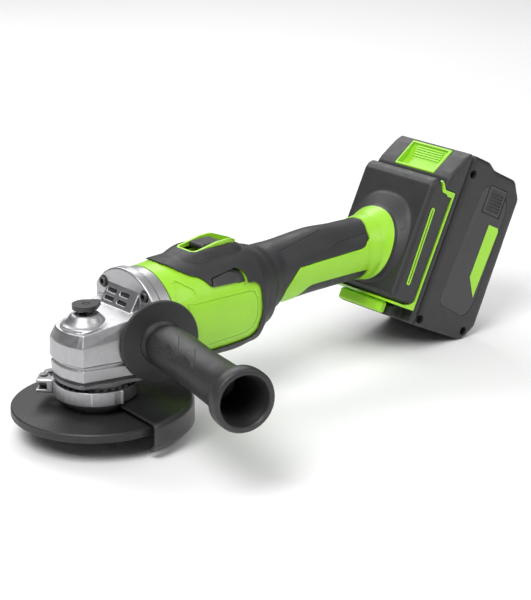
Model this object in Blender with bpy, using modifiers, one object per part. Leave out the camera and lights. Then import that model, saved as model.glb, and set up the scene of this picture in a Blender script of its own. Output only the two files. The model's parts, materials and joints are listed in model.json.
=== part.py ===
"""Cordless angle grinder, modelled as an assembly of separate pieces.

Run with: blender --background --python part.py

Frame: the origin is the centre of the spindle's lower end face, +Z up the spindle, +X back along the tool
towards the battery, and the side handle leaves towards -Y. Sizes below are in millimetres; every mesh is
made in metres through MM.
"""

from math import asin, atan2, ceil, copysign, cos, degrees, pi, radians, sin, sqrt, tan

import bmesh
import bpy
from mathutils import Matrix, Vector

MM = 0.001
GAP = 0.3
OBJECT_NAME = "angle_grinder"

# Spindle and wheel. Heights are above the spindle's lower end.
RIM_Z = 14.0
WHEEL_R = 57.5
WHEEL_THICK = 6.0
BORE_R = 11.1
THREAD_R = 7.0
SPINDLE_R = 8.5
FLANGE_R = 21.0
FLANGE_THICK = 5.0
NUT_R = 20.0
NUT_THICK = 5.0

# Guard and its quick-release clamp.
COLLAR_R = 25.6
COLLAR_WALL = 1.7
COLLAR_TOP = RIM_Z + 17.5
PLATE_Z = RIM_Z + 6.5
GUARD_R = 64.5
GUARD_WALL = 1.8
GUARD_LOW = RIM_Z - 17.0
GUARD_TURN = -2.0
COLLAR_TEETH = 30
LEVER_LOW = RIM_Z + 7.4
LEVER_HIGH = RIM_Z + 17.0
LEVER_PIN = (-23.0, 27.5)
LINK_PIN = (-12.6, 36.0)

# Gear head.
NECK_R = COLLAR_R - COLLAR_WALL - 0.4
HEAD_LOW = RIM_Z + 23.7
HEAD_STEP = RIM_Z + 34.8
SHOULDER_Z = RIM_Z + 47.8
ROOF_Z = RIM_Z + 55.1
ROOF_SLOPE = 0.18
NOSE_X = -28.6
CORNER = (-24.3, 18.6)
FLARE = radians(14.3)
HEAD_WALL = 3.2
GASKET_THICK = 1.0
COVER_THICK = 3.4
COVER_LOW = HEAD_LOW - GASKET_THICK - 2 * GAP - COVER_THICK
SCREW_R = 1.2
SCREW_HEAD_R = 1.7
BUTTON_X = -8.0
LOCK_X = -9.0
LOCK_BOSS_TOP = RIM_Z + 64.5
OUTLET_FOOT = (16.6, RIM_Z + 62.8)
OUTLET_CREST = (25.4, RIM_Z + 77.2)
OUTLET_HALF = 17.0
SPRING_SEAT = 2.5
BUTTON_LOW = RIM_Z + 67.8
BUTTON_TOP = RIM_Z + 71.0

# Motor section, handle and neck, as sections along their middle line:
# (x, height of the middle, half height, half width, squareness, lean in degrees).
MOTOR_Z = RIM_Z + 51.0
MOTOR_START = 41.0
BODY_JOINT = 118.0
BODY_END = 260.0
BODY_WALL = 2.6
BODY_KEYS = (
    (MOTOR_START, MOTOR_Z, 34.5, 34.5, 2.0, 0),
    (60.0, MOTOR_Z, 35.0, 34.8, 2.2, 0),
    (100.0, RIM_Z + 51.2, 35.3, 35.0, 2.5, 0),
    (118.0, RIM_Z + 51.5, 33.5, 34.0, 2.5, 0),
    (130.0, RIM_Z + 53.0, 28.5, 30.0, 2.4, 0),
    (141.0, RIM_Z + 55.5, 23.5, 24.0, 2.2, 0),
    (152.0, RIM_Z + 57.3, 22.3, 20.5, 2.1, 0),
    (190.0, RIM_Z + 58.8, 23.3, 19.0, 2.1, 0),
    (216.0, RIM_Z + 58.0, 22.5, 19.0, 2.1, 0),
    (230.0, RIM_Z + 57.8, 22.2, 19.8, 2.1, 4),
    (240.0, RIM_Z + 58.0, 23.0, 21.0, 2.1, 14),
    (249.0, RIM_Z + 59.5, 26.0, 24.0, 2.2, 24),
    (255.3, RIM_Z + 62.4, 34.0, 30.0, 2.4, 26.7),
    (BODY_END, RIM_Z + 64.0, 38.0, 32.0, 2.5, 26.7),
)
RING_POINTS = 24
COLLAR_START = 231.0
COLLAR_END = 247.0

SWITCH_ROD_Z = MOTOR_Z + 26.5
MODULE_TOP = MOTOR_Z + 19.0

# Battery block: measured in its own leaning frame, u back from the joint plane and v up along it.
LEAN = radians(26.7)
HEEL = (254.7, 18.5)
BATTERY_DEEP = 71.5
BATTERY_LONG = 131.5
BATTERY_HALF = 37.0
BASE_DEEP = 4.0
RAIL_DEEP = 9.0
RAIL_HALF = 25.0
FOOT_DEEP = 25.5
FOOT_HALF = 36.0
FOOT_LOW = 11.5
FOOT_HIGH = 106.4
CHANNEL_DEEP = 12.5
CHANNEL_HALF = RAIL_HALF + 0.6
TERMINAL_HALF = 13.0

# Gears: the spindle's crown gear and the motor's pinion share one cone apex on the motor axis.
CROWN_TEETH = 37
PINION_TEETH = 11
CROWN_R = 19.0
PINION_R = CROWN_R * PINION_TEETH / CROWN_TEETH
MESH_Z = MOTOR_Z - PINION_R
TOOTH_LOW = MESH_Z - 1.3
TOOTH_HIGH = MESH_Z + 0.7
CROWN_WEB = TOOTH_LOW - 1.0
SPINDLE_TOP_R = 3.5
BUSH_LOW = MOTOR_Z + 1.0
BUSH_HIGH = MOTOR_Z + 6.5

# Side handle, screwed into the gear head's right side and square to its flared face.
HANDLE_BASE = (35.6, 0.0, RIM_Z + 44.8)
HANDLE_RISE = radians(1.2)
HANDLE_FACE = 33.2
SIDE_FLAT = 32.3
HAND_FLANGE_R = 27.8
HANDLE_END = 160.5
STUD_R = 4.0

COLOURS = {
    "lime": ((0.30, 0.72, 0.04), 0.42, 0.0),
    "soft_grip": ((0.045, 0.045, 0.048), 0.72, 0.0),
    "dark_shell": ((0.055, 0.055, 0.058), 0.55, 0.0),
    "cast_aluminium": ((0.62, 0.62, 0.62), 0.38, 1.0),
    "black_steel": ((0.035, 0.035, 0.037), 0.45, 0.8),
    "bright_steel": ((0.70, 0.70, 0.70), 0.25, 1.0),
    "abrasive": ((0.05, 0.05, 0.052), 0.9, 0.0),
    "cell_steel": ((0.10, 0.25, 0.40), 0.45, 0.3),
    "copper": ((0.72, 0.33, 0.16), 0.35, 1.0),
    "board": ((0.02, 0.18, 0.07), 0.5, 0.0),
}


# ---------------------------------------------------------------- helpers


def axes(origin, x_axis, y_axis):
    """A frame in millimetres whose third axis is x_axis cross y_axis."""
    x_axis = Vector(x_axis).normalized()
    y_axis = Vector(y_axis).normalized()
    matrix = Matrix((x_axis, y_axis, x_axis.cross(y_axis))).transposed().to_4x4()
    matrix.translation = Vector(origin)
    return matrix


PLAN = axes((0, 0, 0), (1, 0, 0), (0, 1, 0))
SIDE = axes((0, 0, 0), (1, 0, 0), (0, 0, 1))
BACKWARD = Vector((cos(LEAN), 0, -sin(LEAN)))
UPWARD = Vector((sin(LEAN), 0, cos(LEAN)))
BATTERY = axes((HEEL[0], 0, HEEL[1]), BACKWARD, UPWARD)
HANDLE_AXIS = Vector((-sin(FLARE), -cos(FLARE), tan(HANDLE_RISE))).normalized()


def material(slot):
    found = bpy.data.materials.get(slot)
    if found:
        return found
    colour, roughness, metallic = COLOURS[slot]
    made = bpy.data.materials.new(slot)
    made.use_nodes = True
    shader = made.node_tree.nodes["Principled BSDF"]
    shader.inputs["Base Color"].default_value = (*colour, 1.0)
    shader.inputs["Roughness"].default_value = roughness
    shader.inputs["Metallic"].default_value = metallic
    return made


def link(name, data, slot=None):
    piece = bpy.data.objects.new(name, data)
    parts_collection().objects.link(piece)
    if slot:
        data.materials.clear()
        data.materials.append(material(slot))
    return piece


def parts_collection():
    found = bpy.data.collections.get(OBJECT_NAME)
    if not found:
        found = bpy.data.collections.new(OBJECT_NAME)
        bpy.context.scene.collection.children.link(found)
    return found


def settle(piece):
    """Turns a piece with modifiers, or a curve, into a plain welded mesh in world space."""
    bpy.context.view_layer.update()
    graph = bpy.context.evaluated_depsgraph_get()
    mesh = bpy.data.meshes.new_from_object(piece.evaluated_get(graph))
    mesh.transform(piece.matrix_world)
    bm = bmesh.new()
    bm.from_mesh(mesh)
    bmesh.ops.remove_doubles(bm, verts=bm.verts, dist=0.001 * MM)
    bmesh.ops.dissolve_degenerate(bm, edges=bm.edges, dist=0.001 * MM)
    bmesh.ops.recalc_face_normals(bm, faces=bm.faces)
    bm.to_mesh(mesh)
    bm.free()
    name = piece.name
    bpy.data.objects.remove(piece)
    return link(name, mesh)


def box(name, low, high, place=PLAN, rounding=0.0):
    """A box between two corners of the frame place, with its edges rounded."""
    bm = bmesh.new()
    bmesh.ops.create_cube(bm, size=1.0)
    size = Vector(high) - Vector(low)
    middle = (Vector(high) + Vector(low)) / 2
    bm.transform(Matrix.Translation(middle) @ Matrix.Diagonal((*size, 1.0)))
    return from_bmesh(name, bm, place, rounding)


def from_bmesh(name, bm, place=PLAN, rounding=0.0):
    bm.transform(place)
    bm.transform(Matrix.Scale(MM, 4))
    bmesh.ops.recalc_face_normals(bm, faces=bm.faces)
    mesh = bpy.data.meshes.new(name)
    bm.to_mesh(mesh)
    bm.free()
    piece = link(name, mesh)
    if not rounding:
        return piece
    bevel = piece.modifiers.new("Rounded edges", "BEVEL")
    bevel.width = rounding * MM
    bevel.segments = 1
    bevel.limit_method = "ANGLE"
    bevel.angle_limit = radians(40)
    return settle(piece)


def plate(name, outline, low, high, place=PLAN, rounding=0.0):
    """A flat outline in the frame place, standing from low to high along its third axis."""
    curve = bpy.data.curves.new(name, "CURVE")
    curve.dimensions = "2D"
    curve.fill_mode = "BOTH"
    curve.extrude = (high - low) / 2 * MM
    spline = curve.splines.new("POLY")
    spline.points.add(len(outline) - 1)
    for point, (u, v) in zip(spline.points, outline):
        point.co = (u * MM, v * MM, 0.0, 1.0)
    spline.use_cyclic_u = True
    piece = link(name, curve)
    middle = Matrix.Translation((0, 0, (low + high) / 2))
    frame = place @ middle
    frame.translation *= MM
    piece.matrix_world = frame
    piece = settle(piece)
    bm = bmesh.new()
    bm.from_mesh(piece.data)
    bmesh.ops.dissolve_limit(bm, angle_limit=radians(0.5), verts=bm.verts, edges=bm.edges)
    bm.to_mesh(piece.data)
    bm.free()
    if not rounding:
        return piece
    bevel = piece.modifiers.new("Rounded edges", "BEVEL")
    bevel.width = rounding * MM
    bevel.segments = 1
    bevel.limit_method = "ANGLE"
    bevel.angle_limit = radians(50)
    return settle(piece)


def turned(name, profile, origin=(0, 0, 0), axis=(0, 0, 1), steps=48):
    """A profile of (radius, height) points, turned round the axis through origin.

    A solid's profile starts and ends on the axis. A ring's profile is a closed loop, which runs down its
    outer side and up its inner side.
    """
    on_axis = abs(profile[0][0]) < 1e-9 and abs(profile[-1][0]) < 1e-9
    mesh = bpy.data.meshes.new(name)
    count = len(profile)
    edges = [(i, i + 1) for i in range(count - 1)]
    if not on_axis:
        edges.append((count - 1, 0))
    mesh.from_pydata([(r * MM, 0, z * MM) for r, z in profile], edges, [])
    piece = link(name, mesh)
    screw = piece.modifiers.new("Turned", "SCREW")
    screw.steps = steps
    screw.render_steps = steps
    screw.use_merge_vertices = True
    screw.merge_threshold = 0.00001
    direction = Vector(axis).normalized()
    matrix = direction.to_track_quat("Z", "Y").to_matrix().to_4x4()
    matrix.translation = Vector(origin) * MM
    piece.matrix_world = matrix
    return settle(piece)


def rod(name, radius, low, high, origin=(0, 0, 0), axis=(0, 0, 1), steps=24, chamfer=0.0):
    """A cylinder along axis, from low to high, with chamfered ends."""
    profile = [(0, high), (radius - chamfer, high)]
    if chamfer:
        profile += [(radius, high - chamfer), (radius, low + chamfer)]
    else:
        profile += [(radius, low)]
    if chamfer:
        profile.append((radius - chamfer, low))
    profile.append((0, low))
    return turned(name, profile, origin, axis, steps)


def ring(name, outer, inner, low, high, origin=(0, 0, 0), axis=(0, 0, 1), steps=32, chamfer=0.0):
    """A plain or chamfered ring along axis."""
    profile = [(outer, high), (outer, low), (inner, low), (inner, high)]
    if chamfer:
        profile = [
            (outer - chamfer, high),
            (outer, high - chamfer),
            (outer, low + chamfer),
            (outer - chamfer, low),
            (inner, low),
            (inner, high),
        ]
    return turned(name, profile, origin, axis, steps)


def loft(name, rings):
    """A closed skin over rings of points that have the same count, capped at both ends."""
    bm = bmesh.new()
    rows = [[bm.verts.new(point) for point in points] for points in rings]
    count = len(rows[0])
    for lower, upper in zip(rows, rows[1:]):
        for i in range(count):
            j = (i + 1) % count
            bm.faces.new((lower[i], lower[j], upper[j], upper[i]))
    bm.faces.new(list(reversed(rows[0])))
    bm.faces.new(rows[-1])
    return from_bmesh(name, bm)


def boolean(target, other, operation="DIFFERENCE"):
    """Cuts, joins or intersects target with other, and removes other."""
    modifier = target.modifiers.new(operation.title(), "BOOLEAN")
    modifier.operation = operation
    modifier.solver = "EXACT"
    modifier.object = other
    result = settle(target)
    bpy.data.objects.remove(other)
    return result


def cut(target, *cutters):
    for cutter in cutters:
        target = boolean(target, cutter, "DIFFERENCE")
    return target


def join(target, *others):
    for other in others:
        target = boolean(target, other, "UNION")
    return target


def common(target, other):
    return boolean(target, other, "INTERSECT")


def copy_of(piece, name):
    twin = link(name, piece.data.copy())
    twin.matrix_world = piece.matrix_world
    return twin


def finish(piece, slot, sharp=35.0):
    """Gives a piece its material and its shading."""
    piece.data.materials.clear()
    piece.data.materials.append(material(slot))
    piece.data.shade_smooth()
    piece.data.set_sharp_from_angle(angle=radians(sharp))
    return piece


def arc(centre, radius, start, end, count):
    """Points on an arc, angles in degrees."""
    span = [start + (end - start) * i / (count - 1) for i in range(count)]
    return [(centre[0] + radius * cos(radians(a)), centre[1] + radius * sin(radians(a))) for a in span]


def smooth_step(t):
    return t * t * (3 - 2 * t)


# ---------------------------------------------------------------- body surface


def body_shape(x):
    """(middle, half height, half width, squareness, lean) of the body's section at x."""
    if x <= BODY_KEYS[0][0]:
        return BODY_KEYS[0][1:]
    for before, after in zip(BODY_KEYS, BODY_KEYS[1:]):
        if x <= after[0]:
            t = smooth_step((x - before[0]) / (after[0] - before[0]))
            return tuple(a + (b - a) * t for a, b in zip(before[1:], after[1:]))
    return BODY_KEYS[-1][1:]


def superellipse(half_u, half_v, square, count):
    """Points (u, v) round a superellipse; square 2 is an ellipse and more is boxier."""
    power = 2 / square
    points = []
    for i in range(count):
        angle = 2 * pi * (i + 0.5) / count
        c = cos(angle)
        s = sin(angle)
        points.append((half_u * copysign(abs(c) ** power, c), half_v * copysign(abs(s) ** power, s)))
    return points


def body_ring(x, grow=0.0):
    """One section of the body, grown outwards by grow."""
    middle, tall, half, square, lean = body_shape(x)
    up = Vector((sin(radians(lean)), 0, cos(radians(lean))))
    centre = Vector((x, 0, middle))
    outline = superellipse(half + grow, tall + grow, square, RING_POINTS)
    return [centre + Vector((0, y, 0)) + up * rise for y, rise in outline]


def body_loft(name, start, end, grow=0.0, step=10.0):
    count = max(1, ceil((end - start) / step))
    stations = [start + (end - start) * i / count for i in range(count + 1)]
    return loft(name, [body_ring(x, grow) for x in stations])


def body_skin(name, start, end, low, high, step=10.0):
    """A shell between two grown copies of the body surface, open at both ends."""
    outer = body_loft(name, start, end, high, step)
    inner = body_loft("inner", start - 1, end + 1, low, step)
    return cut(outer, inner)


# ---------------------------------------------------------------- wheel end


def make_spindle():
    shoulder = RIM_Z + 5 + GAP
    profile = [
        (0, BUSH_HIGH + 0.5),
        (SPINDLE_TOP_R, BUSH_HIGH + 0.5),
        (SPINDLE_TOP_R, CROWN_WEB - 0.2),
        (6.0, CROWN_WEB - 0.2),
        (6.0, RIM_Z + 19),
        (SPINDLE_R, RIM_Z + 19),
        (SPINDLE_R, shoulder),
        (THREAD_R, shoulder),
        (THREAD_R, 1.0),
        (THREAD_R - 1.0, 0),
        (0, 0),
    ]
    return finish(turned("spindle", profile, steps=24), "bright_steel")


def make_wheel():
    rim = WHEEL_R - 0.8
    profile = [
        (rim, RIM_Z),
        (WHEEL_R, RIM_Z - 0.8),
        (WHEEL_R, RIM_Z - WHEEL_THICK + 0.8),
        (rim, RIM_Z - WHEEL_THICK),
        (BORE_R + GAP, RIM_Z - WHEEL_THICK),
        (BORE_R + GAP, RIM_Z),
    ]
    return finish(turned("grinding_wheel", profile, steps=56), "abrasive")


def make_inner_flange():
    """Seats the wheel: a rimmed disc with a pilot that centres the wheel's bore."""
    seat = RIM_Z + GAP
    profile = [
        (FLANGE_R - 1, seat + FLANGE_THICK - GAP),
        (FLANGE_R, seat + FLANGE_THICK - 1 - GAP),
        (FLANGE_R, seat),
        (BORE_R, seat),
        (BORE_R, RIM_Z - 3),
        (THREAD_R + GAP, RIM_Z - 3),
        (THREAD_R + GAP, seat + FLANGE_THICK - GAP),
    ]
    return finish(turned("inner_flange", profile, steps=32), "black_steel")


def make_clamp_nut():
    """The outer flange nut, with four holes for the pin spanner."""
    top = RIM_Z - WHEEL_THICK - GAP
    nut = ring("clamp_nut", NUT_R, THREAD_R + GAP, top - NUT_THICK, top, steps=28, chamfer=1.0)
    for quarter in range(4):
        angle = radians(45 + 90 * quarter)
        centre = (15 * cos(angle), 15 * sin(angle), 0)
        nut = cut(nut, rod("hole", 2.5, top - NUT_THICK - 1, top - 2, centre, steps=8))
    return finish(nut, "black_steel")


def guard_profile():
    """The guard's section from the collar out to the rolled lip, outer side down and inner side up."""
    shoulder = 4.0
    outer = [(COLLAR_R, COLLAR_TOP), (COLLAR_R, PLATE_Z)]
    turn = arc((GUARD_R - shoulder, PLATE_Z - 2 - shoulder), shoulder, 90, 0, 4)
    outer += turn
    outer += [(GUARD_R, GUARD_LOW + 5), (GUARD_R - 5, GUARD_LOW)]
    inner = [(GUARD_R - 5 - GUARD_WALL, GUARD_LOW + 1), (GUARD_R - GUARD_WALL, GUARD_LOW + 6)]
    bend = shoulder - GUARD_WALL
    inner += arc((GUARD_R - shoulder, PLATE_Z - 2 - shoulder), bend, 0, 90, 3)
    inner += [(COLLAR_R - COLLAR_WALL, PLATE_Z - GUARD_WALL), (COLLAR_R - COLLAR_WALL, COLLAR_TOP)]
    return outer + inner


def make_guard():
    """A half guard: the plate and skirt cover the back half, and the toothed collar goes all round."""
    guard = turned("guard", guard_profile(), steps=40)
    reach = GUARD_R + 5
    half = box("open_half", (-reach, -reach, -30), (0, reach, PLATE_Z + 30))
    half.matrix_world = Matrix.Rotation(radians(GUARD_TURN), 4, "Z")
    guard = cut(guard, settle(half))
    low = PLATE_Z - GUARD_WALL
    guard = join(guard, ring("collar", COLLAR_R, COLLAR_R - COLLAR_WALL, low, COLLAR_TOP, steps=40))
    return finish(cut(guard, make_tooth_gaps()), "black_steel")


def make_tooth_gaps():
    """The gaps between the collar's indexing teeth, as one cutter."""
    bm = bmesh.new()
    depth = 1.6
    gap = 2 * pi * COLLAR_R / COLLAR_TEETH / 2
    for i in range(COLLAR_TEETH):
        turn = Matrix.Rotation(2 * pi * i / COLLAR_TEETH, 4, "Z")
        shift = Matrix.Translation((COLLAR_R - COLLAR_WALL / 2, 0, COLLAR_TOP))
        size = Matrix.Diagonal((2.2 * COLLAR_WALL, gap, 2 * depth, 1))
        bmesh.ops.create_cube(bm, size=1.0, matrix=turn @ shift @ size)
    return from_bmesh("tooth_gaps", bm)


def make_clamp_band():
    """A split band round the collar, with an ear at each side of the split."""
    inner = COLLAR_R + GAP
    outer = inner + 1.2
    low = LEVER_LOW + 0.6
    high = LEVER_HIGH - 0.6
    band = ring("clamp_band", outer, inner, low, high, steps=30)
    for (x, y) in (LEVER_PIN, LINK_PIN):
        angle = atan2(y, x)
        distance = sqrt(x * x + y * y)
        place = axes((0, 0, 0), (cos(angle), sin(angle), 0), (-sin(angle), cos(angle), 0))
        ear = box("ear", (inner + 0.6, -3.2, low + 2.2), (distance + 3.2, 3.2, high - 2.2), place, 0.6)
        band = join(band, ear)
    split = radians(120)
    place = axes((0, 0, 0), (cos(split), sin(split), 0), (-sin(split), cos(split), 0))
    band = cut(band, box("split", (inner - 2, -1.0, low - 1), (outer + 2, 1.0, high + 1), place))
    for (x, y) in (LEVER_PIN, LINK_PIN):
        band = cut(band, rod("hole", 1.8 + GAP, low - 3, high + 3, (x, y, 0), steps=16))
    return finish(band, "black_steel")


def make_clamp_lever():
    """The quick-release lever: an arm bent round the band, hung on the lever pin by a fork."""
    inner = COLLAR_R + GAP + 1.2 + GAP
    outer = inner + 1.4
    start = degrees(atan2(LEVER_PIN[1], LEVER_PIN[0])) + 8
    end = 266.0
    arm = arc((0, 0), outer, start, end, 14)
    tip = radians(end + 2)
    arm += [((outer + 1.6) * cos(tip), (outer + 1.6) * sin(tip)), ((outer + 0.9) * cos(tip), (outer + 0.9) * sin(tip))]
    arm += arc((0, 0), inner, end, start, 14)
    lever = plate("clamp_lever", arm, LEVER_LOW, LEVER_HIGH)
    angle = atan2(LEVER_PIN[1], LEVER_PIN[0])
    place = axes((0, 0, 0), (cos(angle), sin(angle), 0), (-sin(angle), cos(angle), 0))
    lug = box("lug", (inner + 0.4, -0.5, LEVER_LOW), (39.7, 8.6, LEVER_HIGH), place, 0.8)
    eye = rod("eye", 3.9, LEVER_LOW, LEVER_HIGH, (*LEVER_PIN, 0), steps=20)
    lever = join(lever, lug, eye)
    slot_low = LEVER_LOW + 0.6 + 2.2 - GAP
    slot_high = LEVER_HIGH - 0.6 - 2.2 + GAP
    slot = ring("slot", 9.3, 0.5, slot_low, slot_high, (*LEVER_PIN, 0), steps=20)
    lever = cut(lever, slot, rod("core", 1.0, slot_low, slot_high, (*LEVER_PIN, 0), steps=8))
    lever = cut(lever, rod("hole", 1.8 + GAP, LEVER_LOW - 3, LEVER_HIGH + 3, (*LEVER_PIN, 0), steps=16))
    return finish(lever, "bright_steel")


def make_clamp_pins():
    heads = []
    for name, (x, y) in (("lever_pin", LEVER_PIN), ("link_pin", LINK_PIN)):
        high = LEVER_HIGH + 0.2 if name == "lever_pin" else LEVER_HIGH - 2.6
        low = LEVER_LOW - 0.2 if name == "lever_pin" else LEVER_LOW + 2.6
        profile = [(0, high + 1.2), (2.2, high + 1.2), (2.9, high + 0.8), (2.9, high + 0.2), (1.8, high + 0.2)]
        profile += [(1.8, low - 0.2), (2.9, low - 0.2), (2.9, low - 1.0), (2.2, low - 1.4), (0, low - 1.4)]
        heads.append(finish(turned(name, profile, (x, y, 0), steps=12), "bright_steel"))
    return heads


# ---------------------------------------------------------------- gear head


def nose_outline(inset, rear=30.0):
    """The gear head's plan: a convex nose, and sides that flare towards the motor."""
    x, y = CORNER
    bulge = abs(NOSE_X - x)
    radius = (y * y + bulge * bulge) / (2 * bulge)
    centre_x = NOSE_X + radius
    reach = degrees(asin(y / radius))
    nose = arc((centre_x, 0), radius - inset, 180 - reach, 180 + reach, 9)
    turn = inset / cos(FLARE)
    side = y + (rear - x) * tan(FLARE)
    nose[0] = (nose[0][0], y + (nose[0][0] - x) * tan(FLARE) - turn)
    nose[-1] = (nose[0][0], -nose[0][1])
    return [(rear, side - turn)] + nose + [(rear, -side + turn)]


def nose_level(z, inset, slope=0.0):
    outline = nose_outline(inset)
    return [Vector((x, y, z + slope * (x - CORNER[0]))) for x, y in outline]


def make_head_body():
    """The faceted front of the gear head: lower ring, undercut, upright sides, chamfer and sloping roof."""
    levels = (
        (HEAD_LOW, 1.0, 0.0),
        (HEAD_STEP - 3.0, 0.6, 0.0),
        (HEAD_STEP - 2.6, 2.0, 0.0),
        (HEAD_STEP - 0.4, 2.0, 0.0),
        (HEAD_STEP, 0.0, 0.0),
        (SHOULDER_Z, 0.4, ROOF_SLOPE * 0.6),
        (ROOF_Z, 3.6, ROOF_SLOPE),
    )
    return loft("gear_housing", [nose_level(*level) for level in levels])


def make_head_cavity():
    levels = (
        (HEAD_LOW - 1.0, HEAD_WALL + 3.4, 0.0),
        (HEAD_STEP - 2.0, HEAD_WALL + 3.4, 0.0),
        (HEAD_STEP + 1.0, HEAD_WALL + 1.0, 0.0),
        (SHOULDER_Z, HEAD_WALL + 1.0, ROOF_SLOPE * 0.6),
        (ROOF_Z - HEAD_WALL, HEAD_WALL + 3.6, ROOF_SLOPE),
    )
    rings = []
    for z, inset, slope in levels:
        outline = nose_outline(inset, rear=22.0)
        rings.append([Vector((x, y, z + slope * (x - CORNER[0]))) for x, y in outline])
    return loft("cavity", rings)


def make_outlet_box():
    """The raised air outlet, a wedge with a leaning front."""
    foot_x, foot_z = OUTLET_FOOT
    crest_x, crest_z = OUTLET_CREST
    roof = [(foot_x - 1, RIM_Z + 57), (foot_x, foot_z), (crest_x, crest_z), (27.0, crest_z + 0.4), (27.0, RIM_Z + 57)]
    return plate("outlet", roof, -OUTLET_HALF, OUTLET_HALF, SIDE, 0.8)


def outlet_face():
    """A frame on the outlet's leaning front: first axis across to the right, second up, third outwards."""
    lean = Vector((OUTLET_CREST[0] - OUTLET_FOOT[0], 0, OUTLET_CREST[1] - OUTLET_FOOT[1])).normalized()
    return axes((OUTLET_FOOT[0], 0, OUTLET_FOOT[1]), (0, -1, 0), lean)


def make_outlet_slots():
    """Two rows of two slots through the leaning front of the air outlet."""
    slots = []
    for row in (3.8, 9.6):
        for middle in (-9.6, 4.0):
            low = (middle - 4.7, row - 1.4, -4)
            high = (middle + 4.7, row + 1.4, 4)
            slots.append(box("slot", low, high, outlet_face()))
    return slots


def handle_direction(side):
    """Which way a side handle leaves the head: side 1 is the fitted handle's, -1 the spare hole's."""
    return Vector((HANDLE_AXIS.x, HANDLE_AXIS.y * side, HANDLE_AXIS.z if side > 0 else 0.0)).normalized()


def side_frame(side):
    """A frame at the handle's base whose third axis runs out level, square to that side of the head."""
    level = Vector((-sin(FLARE), -cos(FLARE) * side, 0))
    across = level.cross(Vector((0, 0, 1)))
    return axes(HANDLE_BASE, across, level.cross(across))


def make_gear_housing():
    """The cast housing: front, mounting flange, neck, air outlet, button boss and both handle bosses."""
    housing = make_head_body()
    along_x = (1, 0, 0)
    centre = (0, 0, MOTOR_Z)
    flange = rod("flange", 36.5, 24.0, 31.5, centre, along_x, steps=36, chamfer=0.8)
    neck = rod("neck", 34.3, 30.0, MOTOR_START - GAP, centre, along_x, steps=36)
    boss_low = ROOF_Z - 4
    cone = [(0, LOCK_BOSS_TOP), (8.6, LOCK_BOSS_TOP), (10.4, LOCK_BOSS_TOP - 1.6), (13.2, RIM_Z + 59.5)]
    cone += [(15.5, RIM_Z + 57.0), (15.5, boss_low), (0, boss_low)]
    boss = turned("boss", cone, (BUTTON_X, 0, 0), steps=20)
    rear = join(flange, neck)
    for side in (1, -1):
        rear = cut(rear, box("beyond", (-50, -50, SIDE_FLAT), (50, 50, 80), side_frame(side)))
    housing = join(housing, rear, make_outlet_box(), boss)
    for side in (1, -1):
        direction = handle_direction(side)
        housing = join(housing, rod("handle_boss", 11.5, 18, HANDLE_FACE - GAP, HANDLE_BASE, direction, 16, 0.6))
    housing = cut(housing, box("below", (-60, -60, -20), (60, 60, HEAD_LOW)))
    housing = cut(housing, make_head_cavity())
    housing = join(housing, rod("bush_boss", 7.5, BUSH_LOW - 1.5, ROOF_Z + 1.0, steps=12))
    housing = cut(housing, rod("bearing_bore", 13.3, 19.0, 35.0, centre, along_x, 20))
    housing = cut(housing, rod("fan_chamber", 30.5, 34.9, MOTOR_START + 2, centre, along_x, 24))
    housing = cut(housing, rod("bush_bore", 5.5, BUSH_LOW - 3, BUSH_HIGH + 1, (0, 0, 0), steps=16))
    seat = rod("spring_seat", 5.6, LOCK_BOSS_TOP - SPRING_SEAT, RIM_Z + 70, (LOCK_X, 0, 0), steps=16)
    housing = cut(housing, seat)
    housing = cut(housing, rod("lock_bore", 2.6, CROWN_WEB, RIM_Z + 70, (LOCK_X, 0, 0), steps=10))
    for side in (1, -1):
        thread = rod("handle_thread", STUD_R + GAP, 19, 40, HANDLE_BASE, handle_direction(side), 10)
        housing = cut(housing, thread)
    for slot in make_outlet_slots():
        housing = cut(housing, slot)
    for x, y in cover_screw_places():
        housing = cut(housing, rod("screw_hole", SCREW_R + GAP, HEAD_LOW - 1, HEAD_LOW + 8.6, (x, y, 0), steps=8))
    for y, z in flange_screw_places():
        housing = cut(housing, rod("head_room", 3.9, 10.0, 26.5, (0, y, z), along_x, 10))
        housing = cut(housing, rod("screw_hole", 2.0 + GAP, 20.0, 52.0, (0, y, z), along_x, 8))
    return finish(housing, "cast_aluminium", 28)


def cover_screw_places():
    """Four cover screws: two at the nose's corners and two behind."""
    return ((-21.5, 15.2), (-21.5, -15.2), (17.0, 23.0), (17.0, -23.0))


def flange_screw_places():
    """Four flange screws on a circle round the motor axis: (y, z)."""
    radius = 31.6
    return [(radius * cos(radians(a)), MOTOR_Z + radius * sin(radians(a))) for a in (46, 134, 226, 314)]


def make_bearing_cover():
    """Closes the gear head from below, holds the lower bearing and carries the guard on its neck."""
    high = COVER_LOW + COVER_THICK
    cover = plate("bearing_cover", nose_outline(1.4, rear=23.0), COVER_LOW, high, PLAN, 0.5)
    cover = join(cover, rod("neck", NECK_R, RIM_Z + 6.5, high - 0.5, steps=30))
    cover = cut(cover, rod("bearing_seat", 16.3, RIM_Z + 9.5, HEAD_LOW + 2, steps=28))
    cover = cut(cover, rod("spindle_hole", 10.5, RIM_Z, RIM_Z + 12, steps=24))
    for x, y in cover_screw_places():
        cover = cut(cover, rod("hole", SCREW_R + GAP, RIM_Z, HEAD_LOW + 2, (x, y, 0), steps=8))
        cover = cut(cover, rod("recess", SCREW_HEAD_R + GAP, COVER_LOW - 1, COVER_LOW + 1.6, (x, y, 0), steps=10))
    return finish(cover, "cast_aluminium")


def make_gasket():
    low = HEAD_LOW - GAP - GASKET_THICK
    seal = plate("cover_gasket", nose_outline(1.2, rear=23.6), low, low + GASKET_THICK)
    seal = cut(seal, plate("inside", nose_outline(7.0, rear=18.0), low - 1, low + 2))
    for x, y in cover_screw_places():
        seal = cut(seal, rod("hole", SCREW_R + GAP, low - 1, low + 2, (x, y, 0), steps=8))
    return finish(seal, "soft_grip")


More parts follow.
